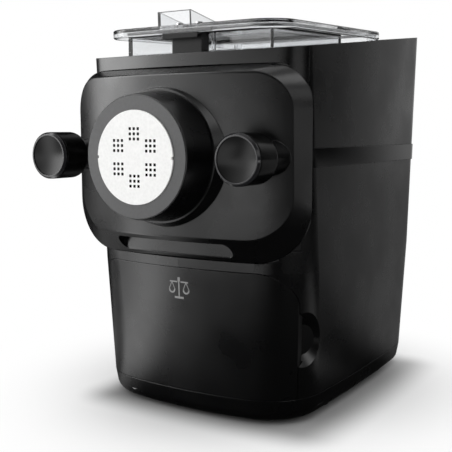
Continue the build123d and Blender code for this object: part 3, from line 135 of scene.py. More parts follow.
# %% [markdown]
# ## Studio
# A black satin body shows little colour of its own: what the eye reads is the studio
# mirrored in it. So the world has two parts. Diffuse rays get a plain grey ambient light.
# Glossy rays get soft boxes painted by direction: a key from the left front that leans
# over, the smaller boxes of a list, a pale backdrop behind and a brighter ceiling.
# Camera and transmission rays see white.


# %% Studio helpers
WHITE = (1, 1, 1, 1)
HALF_TURN = 180.0
DEGREES = HALF_TURN / math.pi


def band(tree, value, edges):
    """One between the first two edges and zero beyond them, blurred by the third."""
    first, last, blur = edges
    rising = ramp(tree, value, first - blur, first + blur)
    falling = ramp(tree, value, last - blur, last + blur, 1.0, 0.0)
    return calc(tree, "MULTIPLY", rising, falling)


def soft_box(tree, across, along, across_edges, along_edges, strength):
    """A soft-edged bright window between two edges of one value and two of another."""
    window = calc(tree, "MULTIPLY", band(tree, across, across_edges),
                  band(tree, along, along_edges))
    return calc(tree, "MULTIPLY", window, strength)


def turns_of(tree, parts):
    """Turn in degrees from straight ahead, right is positive, and from straight behind."""
    forward = calc(tree, "MULTIPLY", parts.outputs["Y"], -1.0)
    ahead = calc(tree, "MULTIPLY", calc(tree, "ARCTAN2", parts.outputs["X"], forward), DEGREES)
    return ahead, calc(tree, "SUBTRACT", HALF_TURN, calc(tree, "ABSOLUTE", ahead))


def ray_kinds(tree):
    """One for rays from the camera or through clear plastic, and one for mirrored rays."""
    path = add_node(tree, "ShaderNodeLightPath")
    seen = calc(tree, "MAXIMUM", path.outputs["Is Camera Ray"],
                path.outputs["Is Transmission Ray"])
    return seen, calc(tree, "SUBTRACT", path.outputs["Is Glossy Ray"], seen, clamp=True)


print("studio helpers ready")

# %% World
# A box has turns and heights, each as from, to and blur in degrees, and a strength.
# A slope has two heights or turns in degrees, and what it gives at each.
AMBIENT = 0.74                          # for diffuse rays
GLOSS_FLOOR = 0.012                     # what a mirror sees between the soft boxes
KEY = ((-84.0, 90.0, 8.0), (-7.0, 60.0, 8.0), 1.0)
KEY_LEAN = (1.5, 4.0, 0.0, 32.0)        # turn added to the key's by height
KEY_FADE = (-22.0, 30.0, 2.5, 0.0)      # key's strength by turn
CEILING = (40.0, 75.0, 0.0, 0.6)        # strength by height
BACKDROP = ((-60.0, 22.0, 9.0), (-20.0, 90.0, 14.0), 0.62)      # turns from straight behind
BOXES = [
    ((-74.0, -46.0, 8.0), (-7.0, 60.0, 8.0), 3.8),      # core of the key at the left front
    ((52.0, 96.0, 7.0), (-14.0, -2.5, 2.5), 2.9),       # low strip at the right
    ((52.0, 96.0, 7.0), (11.0, 30.0, 5.0), 1.0),        # dim middle above it
    ((60.0, 96.0, 7.0), (38.0, 64.0, 6.0), 2.4),        # high card at the right
    ((118.0, 143.0, 5.0), (18.0, 60.0, 8.0), 0.6),      # faint card behind the snout
]

world = bpy.data.worlds.new("studio")
bpy.context.scene.world = world
world.use_nodes = True
world.cycles.sampling_method = "NONE"
sky = world.node_tree
sky.nodes.clear()
direction = add_node(sky, "ShaderNodeTexCoord").outputs["Generated"]
parts = add_node(sky, "ShaderNodeSeparateXYZ")
link(sky, direction, parts.inputs[0])
turn, behind = turns_of(sky, parts)
rise = calc(sky, "MULTIPLY", calc(sky, "ARCSINE", parts.outputs["Z"]), DEGREES)
leaning = calc(sky, "ADD", turn, ramp(sky, rise, *KEY_LEAN))
key = calc(sky, "MULTIPLY", soft_box(sky, turn, rise, *KEY), ramp(sky, leaning, *KEY_FADE))
gloss = calc(sky, "ADD", key, ramp(sky, rise, *CEILING))
for box in BOXES:
    gloss = calc(sky, "ADD", gloss, soft_box(sky, turn, rise, *box))
gloss = calc(sky, "ADD", gloss, soft_box(sky, behind, rise, *BACKDROP))
gloss = calc(sky, "ADD", gloss, GLOSS_FLOOR)
seen, mirrored = ray_kinds(sky)
rest_rays = calc(sky, "SUBTRACT", calc(sky, "SUBTRACT", 1.0, seen), mirrored, clamp=True)
level = calc(sky, "ADD", seen, calc(sky, "MULTIPLY", mirrored, gloss))
level = calc(sky, "ADD", level, calc(sky, "MULTIPLY", rest_rays, AMBIENT))
background = add_node(sky, "ShaderNodeBackground", Color=WHITE)
link(sky, level, background.inputs["Strength"])
link(sky, background.outputs[0], add_node(sky, "ShaderNodeOutputWorld").inputs["Surface"])
print("world ready:", len(BOXES), "boxes, ambient", AMBIENT)

# %% [markdown]
# ## Lamps and floor
# Two area lamps give the soft shadow on the floor and light the white disc. They are
# hidden from mirrors, which already see the painted soft boxes. The floor is a pale
# sheet with a painted shadow that darkens it close to the base. It fades to plain white
# away from the machine, so it has no visible horizon. Mirrors see bright patches on a dark
# floor instead, because the lower half of the body mirrors the floor.


# %% Lamps
def area_lamp(name, place, side, power):
    """Square lamp that looks at the middle of the machine."""
    lamp = bpy.data.objects.new(name, bpy.data.lights.new(name, "AREA"))
    lamp.data.shape = "RECTANGLE"
    lamp.data.size = lamp.data.size_y = side
    lamp.data.energy = power
    lamp.location = place
    lamp.rotation_euler = (MIDDLE - Vector(place)).to_track_quat("-Z", "Y").to_euler()
    lamp.visible_glossy = False
    bpy.context.scene.collection.objects.link(lamp)


MIDDLE = Vector((0.0, 0.0, 0.16))
area_lamp("key_lamp", (-1.10, -1.30, 1.10), side=1.9, power=15.0)
area_lamp("top_lamp", (0.1, 0.2, 1.7), side=1.6, power=12.5)
print("lamps: key and top")

# %% Floor sizes
# A patch has turns in degrees and distances in metres, each as from, to and blur, and a
# strength. A slope has two distances in metres, and what it gives at each.
HALF_FLOOR = 4.0
WHITENING = (0.11, 0.27, 0.0, 1.0)      # share of plain white by distance from the middle
FOOTPRINT = (("X", 0.012, 0.085), ("Y", 0.012, 0.105))      # middle and half size of the painted shadow
CONTACT_SHADE = (0.0, 0.042, 0.30, 0.93)                    # painted shadow: grey by gap to the footprint
PATCHES = [
    ("ahead", (-51.0, -33.0, 8.0), (0.18, 9.0, 0.08), 2.7),     # bright, at the left front
    ("ahead", (-90.0, -14.0, 10.0), (0.18, 9.0, 0.08), 0.30),   # its surroundings
    ("ahead", (50.0, 96.0, 8.0), (1.60, 9.0, 0.50), 2.0),       # low strip at the right
    ("ahead", (-22.0, 24.0, 10.0), (0.85, 9.0, 0.2), 2.0),      # far ahead of the machine
    ("ahead", (95.0, 114.0, 5.0), (0.20, 0.50, 0.08), 0.6),     # right of the snout
    ("behind", (-60.0, 41.0, 8.0), (0.18, 9.0, 0.08), 0.26),    # behind the machine
]
print("floor:", len(PATCHES), "mirrored patches")

# %% Floor sheet
floor_mesh = bpy.data.meshes.new("floor")
floor_corners = [(x * HALF_FLOOR, y * HALF_FLOOR, 0) for x, y in ((-1, -1), (1, -1), (1, 1), (-1, 1))]
floor_mesh.from_pydata(floor_corners, [], [(0, 1, 2, 3)])
floor = bpy.data.objects.new("floor", floor_mesh)
bpy.context.scene.collection.objects.link(floor)
paper = bpy.data.materials.new("pale_floor")
paper.use_nodes = True
tree = paper.node_tree
tree.nodes.clear()
place = add_node(tree, "ShaderNodeTexCoord").outputs["Object"]
length = add_node(tree, "ShaderNodeVectorMath", operation="LENGTH")
link(tree, place, length.inputs[0])
distance = length.outputs["Value"]
spot = add_node(tree, "ShaderNodeSeparateXYZ")
link(tree, place, spot.inputs[0])
print("floor sheet:", 2 * HALF_FLOOR, "m wide")

# %% [markdown]
# The grey of the sheet is a painted shadow that follows its gap to the footprint: the
# distance to a rectangle is the length of what is left of X and Y once its half size is
# taken off.

# %% Floor finish
angles = dict(zip(("ahead", "behind"), turns_of(tree, spot)))
mirrored_floor = GLOSS_FLOOR
for view, turns, distances, strength in PATCHES:
    patch = soft_box(tree, angles[view], distance, turns, distances, strength)
    mirrored_floor = calc(tree, "ADD", patch, mirrored_floor)
squares = []
for axis, middle, half in FOOTPRINT:
    offset = calc(tree, "ABSOLUTE", calc(tree, "SUBTRACT", spot.outputs[axis], middle))
    outside = calc(tree, "MAXIMUM", calc(tree, "SUBTRACT", offset, half), 0.0)
    squares.append(calc(tree, "POWER", outside, 2.0))
# painted shadow: the sheet is darker close to the base
grey = ramp(tree, calc(tree, "SQRT", calc(tree, "ADD", *squares)), *CONTACT_SHADE)
shade = add_node(tree, "ShaderNodeCombineColor")
for channel in ("Red", "Green", "Blue"):
    link(tree, grey, shade.inputs[channel])
sheet = add_node(tree, "ShaderNodeBsdfDiffuse")
link(tree, shade.outputs[0], sheet.inputs["Color"])
white = add_node(tree, "ShaderNodeEmission", Color=WHITE, Strength=1.0)
mirror_glow = add_node(tree, "ShaderNodeEmission", Color=WHITE)
link(tree, mirrored_floor, mirror_glow.inputs["Strength"])


def mix_shaders(share, first, second):
    """The first shader where share is zero, the second where it is one."""
    node = add_node(tree, "ShaderNodeMixShader")
    for slot, source in zip(node.inputs, (share, first.outputs[0], second.outputs[0])):
        link(tree, source, slot)
    return node


seen, mirrored = ray_kinds(tree)
whitened = calc(tree, "MULTIPLY", ramp(tree, distance, *WHITENING), seen)
shown = mix_shaders(mirrored, mix_shaders(whitened, sheet, white), mirror_glow)
link(tree, shown.outputs[0], add_node(tree, "ShaderNodeOutputMaterial").inputs["Surface"])
floor_mesh.materials.append(paper)
print("floor ready")

# %% [markdown]
# ## What all finishes share
# Each finish starts from a Principled shader and textures in object coordinates. Small
# bumps lie over edges that a Bevel node rounds, because no real edge is perfectly sharp.


# %% Finish helpers
UNEVEN_NOISE = (0.3, 0.7)       # range of a noise that is spread over two levels


def new_material(name):
    """Material, its tree, its shader and the object coordinates."""
    material = bpy.data.materials.new(name)
    material.use_nodes = True
    tree = material.node_tree
    place = add_node(tree, "ShaderNodeTexCoord").outputs["Object"]
    return material, tree, tree.nodes["Principled BSDF"], place


def textured(tree, place, kind, **sockets):
    """Texture in object coordinates."""
    texture = add_node(tree, f"ShaderNodeTex{kind}", **sockets)
    link(tree, place, texture.inputs["Vector"])
    return texture


def bumped_edges(tree, shader, height, strength, depth, edge, samples=6):
    """Bumps over rounded edges, depth and edge in mm; gives the rounded normal."""
    rounded = add_node(tree, "ShaderNodeBevel", samples=samples, Radius=edge * MM)
    bump = add_node(tree, "ShaderNodeBump", Strength=strength, Distance=depth * MM)
    link(tree, height, bump.inputs["Height"])
    link(tree, rounded.outputs["Normal"], bump.inputs["Normal"])
    link(tree, bump.outputs["Normal"], shader.inputs["Normal"])
    return rounded.outputs["Normal"]


def tinted(tree, shader, share, first, second):
    """Base colour that goes from the first colour to the second by share."""
    tint = add_node(tree, "ShaderNodeMix", data_type="RGBA")
    tint.inputs["A"].default_value = (*first, 1)
    tint.inputs["B"].default_value = (*second, 1)
    link(tree, share, tint.inputs["Factor"])
    link(tree, tint.outputs["Result"], shader.inputs["Base Color"])


print("finish helpers ready")

# %% [markdown]
# ## Moulded plastic
# A moulded black housing has a fine spark texture, a slightly uneven gloss, and edges
# that catch the light. One function makes the whole family. The grain is a small noise
# into a Bump node; a large noise moves the roughness; the difference between the rounded
# normal and the true one marks the edge, where handling has polished the plastic and where
# a painted highlight brightens the colour. Specks brighten it too.


# %% Plastic family
GRAIN_STRENGTH = 0.35
PATCHINESS = 22.0               # scale of the noise that moves the roughness
SPECK_GRAINS = 6                # a speck is so many grains wide
EDGE_FACING = (0.80, 0.99)      # rounded against true normal: at an edge, on a flat
EDGE_POLISH = 0.3               # share of the roughness that an edge loses
EDGE_HIGHLIGHT_TINT, SPECK_TINT = 0.6, 0.5        # shares of the brighter colour: painted edge highlight, and specks
DEEP_COLOUR = 0.85              # the darker of the two colours, as a share of the stated one


def plastic(name, colour, roughness, grain=0.35, depth=0.012, uneven=0.05, edge=0.5,
            specular=0.5, highlight_and_speck=1.35):
    """grain, depth and edge are millimetres; uneven is how far the roughness wanders;
    the last argument is how much brighter the colour gets at edges, as a painted
    highlight, and at specks."""
    material, tree, shader, place = new_material(name)
    fine = textured(tree, place, "Noise", Scale=1 / (grain * MM), Detail=2.0, Roughness=0.6)
    broad = textured(tree, place, "Noise", Scale=PATCHINESS, Detail=4.0, Roughness=0.55)
    speck = textured(tree, place, "Voronoi", Scale=1 / (SPECK_GRAINS * grain * MM))
    rounded = bumped_edges(tree, shader, fine.outputs["Fac"], GRAIN_STRENGTH, depth, edge)
    true_normal = add_node(tree, "ShaderNodeNewGeometry").outputs["Normal"]
    facing = add_node(tree, "ShaderNodeVectorMath", operation="DOT_PRODUCT")
    link(tree, rounded, facing.inputs[0])
    link(tree, true_normal, facing.inputs[1])
    rim = ramp(tree, facing.outputs["Value"], *EDGE_FACING, 1.0, 0.0)
    wander = ramp(tree, broad.outputs["Fac"], *UNEVEN_NOISE, roughness - uneven, roughness + uneven)
    polished = calc(tree, "MULTIPLY", rim, EDGE_POLISH * roughness)
    link(tree, calc(tree, "SUBTRACT", wander, polished, clamp=True), shader.inputs["Roughness"])
    # painted highlight: the colour is brighter at edges, and at specks of the grain
    share = calc(tree, "ADD", calc(tree, "MULTIPLY", rim, EDGE_HIGHLIGHT_TINT),
                 calc(tree, "MULTIPLY", speck.outputs["Distance"], SPECK_TINT), clamp=True)
    tinted(tree, shader, share, [c * DEEP_COLOUR for c in colour],
           [min(c * highlight_and_speck, 1) for c in colour])
    shader.inputs["Specular IOR Level"].default_value = specular
    return material


print("plastic family ready")

# %% [markdown]
# ## Clear plastic
# The lid and the chamber are clear moulded plastic, so light bends in them as in glass.
# Fine flow lines keep them from looking like air.


# %% Clear plastic
CLEAR_IOR = 1.49
FLOW_NOISE = (0.35, 0.7)        # range of the noise that spreads the roughness
FLOW_ROUGHER = 2.2              # the roughest places, against the stated roughness


def clear_plastic(name, tint, roughness):
    material, tree, shader, place = new_material(name)
    flow = textured(tree, place, "Noise", Scale=60.0, Detail=3.0).outputs["Fac"]
    shader.inputs["Base Color"].default_value = (*tint, 1)
    shader.inputs["Transmission Weight"].default_value = 1.0
    shader.inputs["IOR"].default_value = CLEAR_IOR
    uneven = ramp(tree, flow, *FLOW_NOISE, roughness, roughness * FLOW_ROUGHER)
    link(tree, uneven, shader.inputs["Roughness"])
    bumped_edges(tree, shader, flow, strength=0.08, depth=0.05, edge=0.6)
    return material


print("clear plastic ready")

# %% [markdown]
# ## Metal
# Screws, shafts and bushes: a fine noise for the tool marks, a little uneven gloss, and
# full metallic reflection.


# %% Metal family
TOOL_MARK = 0.15 * MM
METAL_ROUGHNESS = (0.8, 1.3)    # smoothest and roughest places, against the stated one
METAL_DEEP = 0.88               # the darker of the two colours, as a share of the stated one


def metal(name, colour, roughness):
    material, tree, shader, place = new_material(name)
    fine = textured(tree, place, "Noise", Scale=1 / TOOL_MARK, Detail=3.0).outputs["Fac"]
    broad = textured(tree, place, "Noise", Scale=90.0, Detail=3.0).outputs["Fac"]
    bumped_edges(tree, shader, fine, strength=0.25, depth=0.008, edge=0.25, samples=4)
    uneven = ramp(tree, broad, *UNEVEN_NOISE, *[roughness * share for share in METAL_ROUGHNESS])
    link(tree, uneven, shader.inputs["Roughness"])
    tinted(tree, shader, broad, [c * METAL_DEEP for c in colour], colour)
    shader.inputs["Metallic"].default_value = 1.0
    return material


print("metal family ready")

# %% [markdown]
# ## Finishes of the machine
# One finish for each material slot of the record, and one of its own for the key under
# the lid. Blacks differ by their gloss: the housing is satin, the band and the knobs
# shine, rubber is dull.

# %% Finishes
finishes = {
    "body_black": plastic("satin_black_housing", (0.0016, 0.0016, 0.0018), 0.29),
    "panel_black": plastic("satin_black_panel", (0.0018, 0.0018, 0.0020), 0.28, edge=0.9),
    "gloss_black": plastic("gloss_black_band", (0.0012, 0.0012, 0.0013), 0.10,
                           depth=0.002, uneven=0.02, specular=0.2),
    "collar_grey": plastic("grey_ring_paint", (0.045, 0.045, 0.046), 0.42,
                           depth=0.006, edge=0.25),
    "disc_white": plastic("white_disc", (0.86, 0.86, 0.85), 0.42,
                          depth=0.006, edge=0.15, highlight_and_speck=1.02),
    "knob_black": plastic("gloss_black_knob", (0.002, 0.002, 0.002), 0.19,
                          depth=0.002, uneven=0.03, specular=0.17),
    "knob_metal": plastic("gloss_black_ring", (0.010, 0.010, 0.011), 0.12,
                          depth=0.002, uneven=0.02),
    "clear": clear_plastic("clear_lid", (0.84, 0.85, 0.86), 0.03),
    "inner_grey": plastic("grey_inner_plastic", (0.20, 0.20, 0.21), 0.55, highlight_and_speck=1.1),
    "gear_plastic": plastic("pale_gear_plastic", (0.74, 0.72, 0.66), 0.45, highlight_and_speck=1.05),
    "steel": metal("bright_steel", (0.60, 0.60, 0.61), 0.28),
    "brass": metal("bush_bronze", (0.72, 0.50, 0.24), 0.30),
    "rubber_dark": plastic("dark_rubber", (0.02, 0.02, 0.02), 0.78,
                           grain=0.6, depth=0.03, specular=0.3),
    "board_green": plastic("green_board", (0.02, 0.14, 0.06), 0.35, grain=0.8),
    "tray_grey": plastic("grey_drawer_tray", (0.24, 0.24, 0.25), 0.5, highlight_and_speck=1.1),
    "window_dark": plastic("dark_display_window", (0.006, 0.008, 0.010), 0.06,
                           depth=0.001, uneven=0.01),
    "paddle_white": plastic("white_paddle", (0.80, 0.80, 0.78), 0.4, highlight_and_speck=1.03),
    "magnet": plastic("dark_core_iron", (0.09, 0.09, 0.09), 0.5, highlight_and_speck=1.2),
}
own_finishes = {
    "lid_key": plastic("dark_lid_key", (0.0014, 0.0014, 0.0015), 0.24, specular=0.24),
}
slot_of = {row["node"]: row["material_slot"] for row in frame["record"]["subparts"]}
for name, obj in nodes.items():
    obj.data.materials.clear()
    obj.data.materials.append(own_finishes.get(name) or finishes[slot_of[name]])
print("finishes given to", len(nodes), "nodes")

# %% [markdown]
# ## What repeats: Geometry Nodes
# The disc's perforations and the screws are rules, not single shapes: a tree with named
# inputs makes them. Each tree ends in Realize Instances and Set Material. It is evaluated
# once, and the result is kept as a plain mesh, so nothing live is left in the file.


# %% Tree helpers
def new_tree(name, inputs):
    """Tree with a geometry input, the named inputs, a material and a geometry output."""
    tree = bpy.data.node_groups.new(name, "GeometryNodeTree")
    tree.interface.new_socket("Geometry", in_out="INPUT", socket_type="NodeSocketGeometry")
    for label, kind in inputs.items():
        tree.interface.new_socket(label, in_out="INPUT", socket_type=f"NodeSocket{kind}")
    tree.interface.new_socket("Material", in_out="INPUT", socket_type="NodeSocketMaterial")
    tree.interface.new_socket("Geometry", in_out="OUTPUT", socket_type="NodeSocketGeometry")
    return tree, tree.nodes.new("NodeGroupInput").outputs


def realized(tree, geometry):
    node = add_node(tree, "GeometryNodeRealizeInstances")
    link(tree, geometry, node.inputs[0])
    return node.outputs[0]


def close_tree(tree, given, geometry):
    """Realizes the instances, sets the material and links the output."""
    coat = add_node(tree, "GeometryNodeSetMaterial")
    link(tree, realized(tree, geometry), coat.inputs["Geometry"])
    link(tree, given["Material"], coat.inputs["Material"])
    link(tree, coat.outputs[0], add_node(tree, "NodeGroupOutput").inputs[0])


def vector(tree, **parts):
    """Vector from the sockets given as X, Y and Z."""
    node = add_node(tree, "ShaderNodeCombineXYZ")
    for axis, source in parts.items():
        link(tree, source, node.inputs[axis])
    return node.outputs[0]


def drum(tree, sides, radius, depth):
    """Upright prism with so many sides; radius and depth are sockets."""
    node = add_node(tree, "GeometryNodeMeshCylinder", Vertices=sides)
    link(tree, radius, node.inputs["Radius"])
    link(tree, depth, node.inputs["Depth"])
    return node.outputs["Mesh"]


def moved(tree, geometry, lift):
    """Geometry moved along Z by a socket."""
    shift = add_node(tree, "GeometryNodeTransform")
    link(tree, geometry, shift.inputs["Geometry"])
    link(tree, vector(tree, Z=lift), shift.inputs["Translation"])
    return shift.outputs[0]


def boolean(tree, operation, first, second):
    """A union takes both meshes in its second socket, a difference takes one in each."""
    node = add_node(tree, "GeometryNodeMeshBoolean", operation=operation, solver="EXACT")
    link(tree, first, node.inputs["Mesh 1" if operation == "DIFFERENCE" else "Mesh 2"])
    link(tree, second, node.inputs["Mesh 2"])
    return node.outputs["Mesh"]


def scatter(tree, points, instance):
    """Node that puts an instance on each point."""
    node = add_node(tree, "GeometryNodeInstanceOnPoints")
    link(tree, points, node.inputs["Points"])
    link(tree, instance, node.inputs["Instance"])
    return node


print("tree helpers ready")


# %% Pieces from trees
def run_tree(tree, base, values):
    """Evaluates a tree on a mesh, with its inputs set by identifier, and keeps a plain mesh."""
    carrier = bpy.data.objects.new("carrier", base)
    bpy.context.scene.collection.objects.link(carrier)
    modifier = carrier.modifiers.new("nodes", "NODES")
    modifier.node_group = tree
    for item in tree.interface.items_tree:
        if item.in_out == "INPUT" and item.name in values:
            modifier[item.identifier] = values[item.name]
    graph = bpy.context.evaluated_depsgraph_get()
    mesh = bpy.data.meshes.new_from_object(carrier.evaluated_get(graph))
    carrier.modifiers.remove(modifier)
    bpy.data.objects.remove(carrier)
    return mesh


def add_piece(name, mesh, body, slot, *replaced, finish=None):
    """Puts a finished mesh into the scene at the origin, on its body."""
    mesh.name = name
    mesh.materials.clear()
    mesh.materials.append(finish or finishes[slot])
    piece = bpy.data.objects.new(name, mesh)
    bpy.context.scene.collection.objects.link(piece)
    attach(piece, body)
    if replaced:
        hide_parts(*replaced)
    print("made", name, "with", len(mesh.polygons), "faces")


print("piece helpers ready")

# %% [markdown]
# ## Shaping disc
# Six groups of nine square holes stand on a circle, all upright. The tree sets a small
# grid of points on each point of the circle, a square bar on each of those points, and
# takes the bars out of the disc. Two more bars notch the rim, where a fingernail lifts
# the disc. The walls of the narrow holes get the black housing finish as painted shade.

# %% Disc tree
DISC_SIDES = 160
BAR_LENGTH = 3.0                # in thicknesses of the disc, so that a bar comes out of both faces

disc_tree, given = new_tree("perforated_disc", {
    "Radius": "Float", "Thickness": "Float", "Hole Side": "Float", "Hole Span": "Float",
    "Hole Circle": "Float", "First Turn": "Rotation", "Rows": "Int", "Groups": "Int"})
grid = add_node(disc_tree, "GeometryNodeMeshGrid")
for label, source in (("Size X", "Hole Span"), ("Size Y", "Hole Span"),
                      ("Vertices X", "Rows"), ("Vertices Y", "Rows")):
    link(disc_tree, given[source], grid.inputs[label])
circle = add_node(disc_tree, "GeometryNodeMeshCircle")
link(disc_tree, given["Groups"], circle.inputs["Vertices"])
link(disc_tree, given["Hole Circle"], circle.inputs["Radius"])
spin = add_node(disc_tree, "GeometryNodeTransform")
link(disc_tree, circle.outputs["Mesh"], spin.inputs["Geometry"])
link(disc_tree, given["First Turn"], spin.inputs["Rotation"])
hole_spots = realized(disc_tree, scatter(disc_tree, spin.outputs[0], grid.outputs["Mesh"]).outputs[0])
bar = add_node(disc_tree, "GeometryNodeMeshCube")
bar_length = calc(disc_tree, "MULTIPLY", given["Thickness"], BAR_LENGTH)
bar_size = vector(disc_tree, X=given["Hole Side"], Y=given["Hole Side"], Z=bar_length)
link(disc_tree, bar_size, bar.inputs["Size"])
rim_spots = add_node(disc_tree, "GeometryNodeMeshLine", Count=2)
rim_start = vector(disc_tree, X=calc(disc_tree, "MULTIPLY", given["Radius"], -1.0))
rim_step = vector(disc_tree, X=calc(disc_tree, "MULTIPLY", given["Radius"], 2.0))
link(disc_tree, rim_start, rim_spots.inputs["Start Location"])
link(disc_tree, rim_step, rim_spots.inputs["Offset"])
bars = add_node(disc_tree, "GeometryNodeJoinGeometry")
for places in (hole_spots, rim_spots.outputs["Mesh"]):
    row = scatter(disc_tree, places, bar.outputs["Mesh"]).outputs[0]
    link(disc_tree, realized(disc_tree, row), bars.inputs[0])
plate = drum(disc_tree, DISC_SIDES, given["Radius"], given["Thickness"])
close_tree(disc_tree, given, boolean(disc_tree, "DIFFERENCE", plate, bars.outputs[0]))
print("disc tree:", len(disc_tree.nodes), "nodes")

# %% Disc
HOLE_SIDE, HOLE_SPAN, HOLE_CIRCLE = 2.0 * MM, 7.2 * MM, 16.6 * MM
HOLE_ROWS, HOLE_GROUPS = 3, 6
RIM_SHARE = 0.95                # walls beyond this share of the radius belong to the rim
WALL_FACING = 0.5               # a wall's normal points less than this along the axis

low, high = (Vector(corner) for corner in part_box("shaping_disc"))
radius, middle = (high.x - low.x) / 2, (low + high) / 2
disc_mesh = run_tree(disc_tree, bpy.data.meshes.new("disc"), {
    "Radius": radius, "Thickness": high.y - low.y, "Hole Side": HOLE_SIDE,
    "Hole Span": HOLE_SPAN, "Hole Circle": HOLE_CIRCLE,
    "First Turn": (0.0, 0.0, math.pi / HOLE_GROUPS),
    "Rows": HOLE_ROWS, "Groups": HOLE_GROUPS, "Material": finishes["disc_white"]})
disc_mesh.transform(Matrix.Translation(middle) @ Matrix.Rotation(math.pi / 2, 4, "X"))
add_piece("perforated_disc", disc_mesh, "panel", "disc_white", "shaping_disc")
# painted shade: the walls of the holes take the black housing finish
disc_mesh.materials.append(finishes["body_black"])
for face in disc_mesh.polygons:
    away = math.hypot(face.center.x - middle.x, face.center.z - middle.z)
    face.material_index = int(abs(face.normal.y) < WALL_FACING and away < RIM_SHARE * radius)

# %% [markdown]
# ## Screws
# A socket screw is a head, a shank and a six-sided socket cut into the head. The base
# mesh of the tree is only a set of points, one for each screw, read off the frame.

# %% Screw tree
HEAD_SIDES, SHANK_SIDES, SOCKET_SIDES = 40, 24, 6
SOCKET_DEPTH = 0.8              # length of the socket's cutter in depths of the head
SOCKET_WIDTH = 0.5              # in widths of the head

screw_tree, given = new_tree("socket_screws", {
    "Head Radius": "Float", "Head Depth": "Float", "Shank Radius": "Float",
    "Shank Length": "Float", "Socket Radius": "Float", "Turn": "Rotation"})
half_head = calc(screw_tree, "MULTIPLY", given["Head Depth"], 0.5)
half_shank = calc(screw_tree, "MULTIPLY", given["Shank Length"], -0.5)
head = drum(screw_tree, HEAD_SIDES, given["Head Radius"], given["Head Depth"])
shank = drum(screw_tree, SHANK_SIDES, given["Shank Radius"], given["Shank Length"])
socket = drum(screw_tree, SOCKET_SIDES, given["Socket Radius"],
              calc(screw_tree, "MULTIPLY", given["Head Depth"], SOCKET_DEPTH))
bolt = boolean(screw_tree, "UNION", head, moved(screw_tree, shank, half_shank))
screw = boolean(screw_tree, "DIFFERENCE", bolt, moved(screw_tree, socket, half_head))
screws = scatter(screw_tree, given["Geometry"], screw)
link(screw_tree, given["Turn"], screws.inputs["Rotation"])
close_tree(screw_tree, given, screws.outputs[0])
print("screw tree:", len(screw_tree.nodes), "nodes")


# %% Screws
WELD = 1e-6                     # corners closer than this are one


def solid_boxes(node):
    """Lowest and highest corner of each separate solid of a node."""
    solid = bmesh.new()
    solid.from_mesh(nodes[node].data)
    bmesh.ops.remove_doubles(solid, verts=solid.verts, dist=WELD)
    boxes, met = [], set()
    for start in solid.verts:
        if start in met:
            continue
        met.add(start)
        waiting, found = [start], []
        while waiting:
            corner = waiting.pop()
            found.append(corner.co.copy())
            near = [edge.other_vert(corner) for edge in corner.link_edges]
            waiting += [other for other in near if other not in met]
            met.update(near)
        boxes.append([Vector([pick(v[i] for v in found) for i in range(3)]) for pick in (min, max)])
    solid.free()
    return boxes


def set_screws(name, node, body, slot, head_up, head_depth, shank_radius):
    """Screws with upright axes in place of a node's plain ones."""
    boxes = solid_boxes(node)
    radius = max((high.x - low.x) / 2 for low, high in boxes)
    length = max(high.z - low.z for low, high in boxes)
    places = []
    for low, high in boxes:
        level = high.z - head_depth / 2 if head_up else low.z + head_depth / 2
        places.append(((low.x + high.x) / 2, (low.y + high.y) / 2, level))
    points = bpy.data.meshes.new("places")
    points.from_pydata(places, [], [])
    mesh = run_tree(screw_tree, points, {
        "Head Radius": radius, "Head Depth": head_depth, "Shank Radius": shank_radius,
        "Shank Length": length - head_depth / 2, "Socket Radius": SOCKET_WIDTH * radius,
        "Turn": (0.0 if head_up else math.pi, 0.0, 0.0), "Material": finishes[slot]})
    add_piece(name, mesh, body, slot, node)


set_screws("lid_key_socket_screws", "lid_key_screws", "cover", "steel",
           head_up=True, head_depth=1.8 * MM, shank_radius=1.3 * MM)
set_screws("base_socket_screws", "base_screws", "housing", "steel",
           head_up=False, head_depth=2.6 * MM, shank_radius=1.6 * MM)

# %% [markdown]
# ## Printed signs
# A sign is a set of strokes laid on the plastic. Each stroke is a line of points with a
# width. Every corner is dropped onto the surface below it along a straight line, so the
# sign follows a bowed front, and it stands a tenth of a millimetre proud.


# %% Sign maker
PROUD, SUNK = 0.1, 0.3          # mm that a stroke stands above the surface and goes below it
DROP = 0.2                      # m from where a corner is dropped to the sign's plane


def add_stroke(solid, points, width, project):
    """Closed strip along points (mm, flat), laid on a surface by project."""
    rows = []
    for index, point in enumerate(points):
        before = Vector(points[max(index - 1, 0)])
        after = Vector(points[min(index + 1, len(points) - 1)])
        along = (after - before).normalized()
        side = Vector((-along.y, along.x)) * width / 2
        corners = []
        for flat in (Vector(point) + side, Vector(point) - side):
            spot, outward = project(flat)
            corners += [solid.verts.new(spot + outward * PROUD * MM),
                        solid.verts.new(spot - outward * SUNK * MM)]
        rows.append(corners)
    for first, second in zip(rows, rows[1:]):
        for a, b in ((0, 2), (2, 3), (3, 1), (1, 0)):
            solid.faces.new((first[a], first[b], second[b], second[a]))
    for end in (rows[0], rows[-1]):
        solid.faces.new((end[0], end[2], end[3], end[1]))


def add_sign(name, strokes, node, body, origin, axes, finish):
    """Signs are drawn in mm in a plane; axes are its right, its up and the way to the surface."""
    right, up, inward = (Vector(axis) for axis in axes)

    def project(flat):
        start = Vector(origin) + right * flat.x * MM + up * flat.y * MM - inward * DROP
        hit, spot, _, _ = nodes[node].ray_cast(start, inward)
        assert hit, f"{name} misses {node}"
        return spot, -inward

    solid = bmesh.new()
    for points, width in strokes:
        add_stroke(solid, points, width, project)
    bmesh.ops.recalc_face_normals(solid, faces=solid.faces)
    mesh = bpy.data.meshes.new(name)
    solid.to_mesh(mesh)
    solid.free()
    add_piece(name, mesh, body, "paddle_white", finish=finish)


def arc(x, y, radius, first, last, steps=16):
    """Points on an arc between two angles in degrees."""
    turns = [math.radians(first + (last - first) * step / steps) for step in range(steps + 1)]
    return [(x + radius * math.cos(a), y + radius * math.sin(a)) for a in turns]


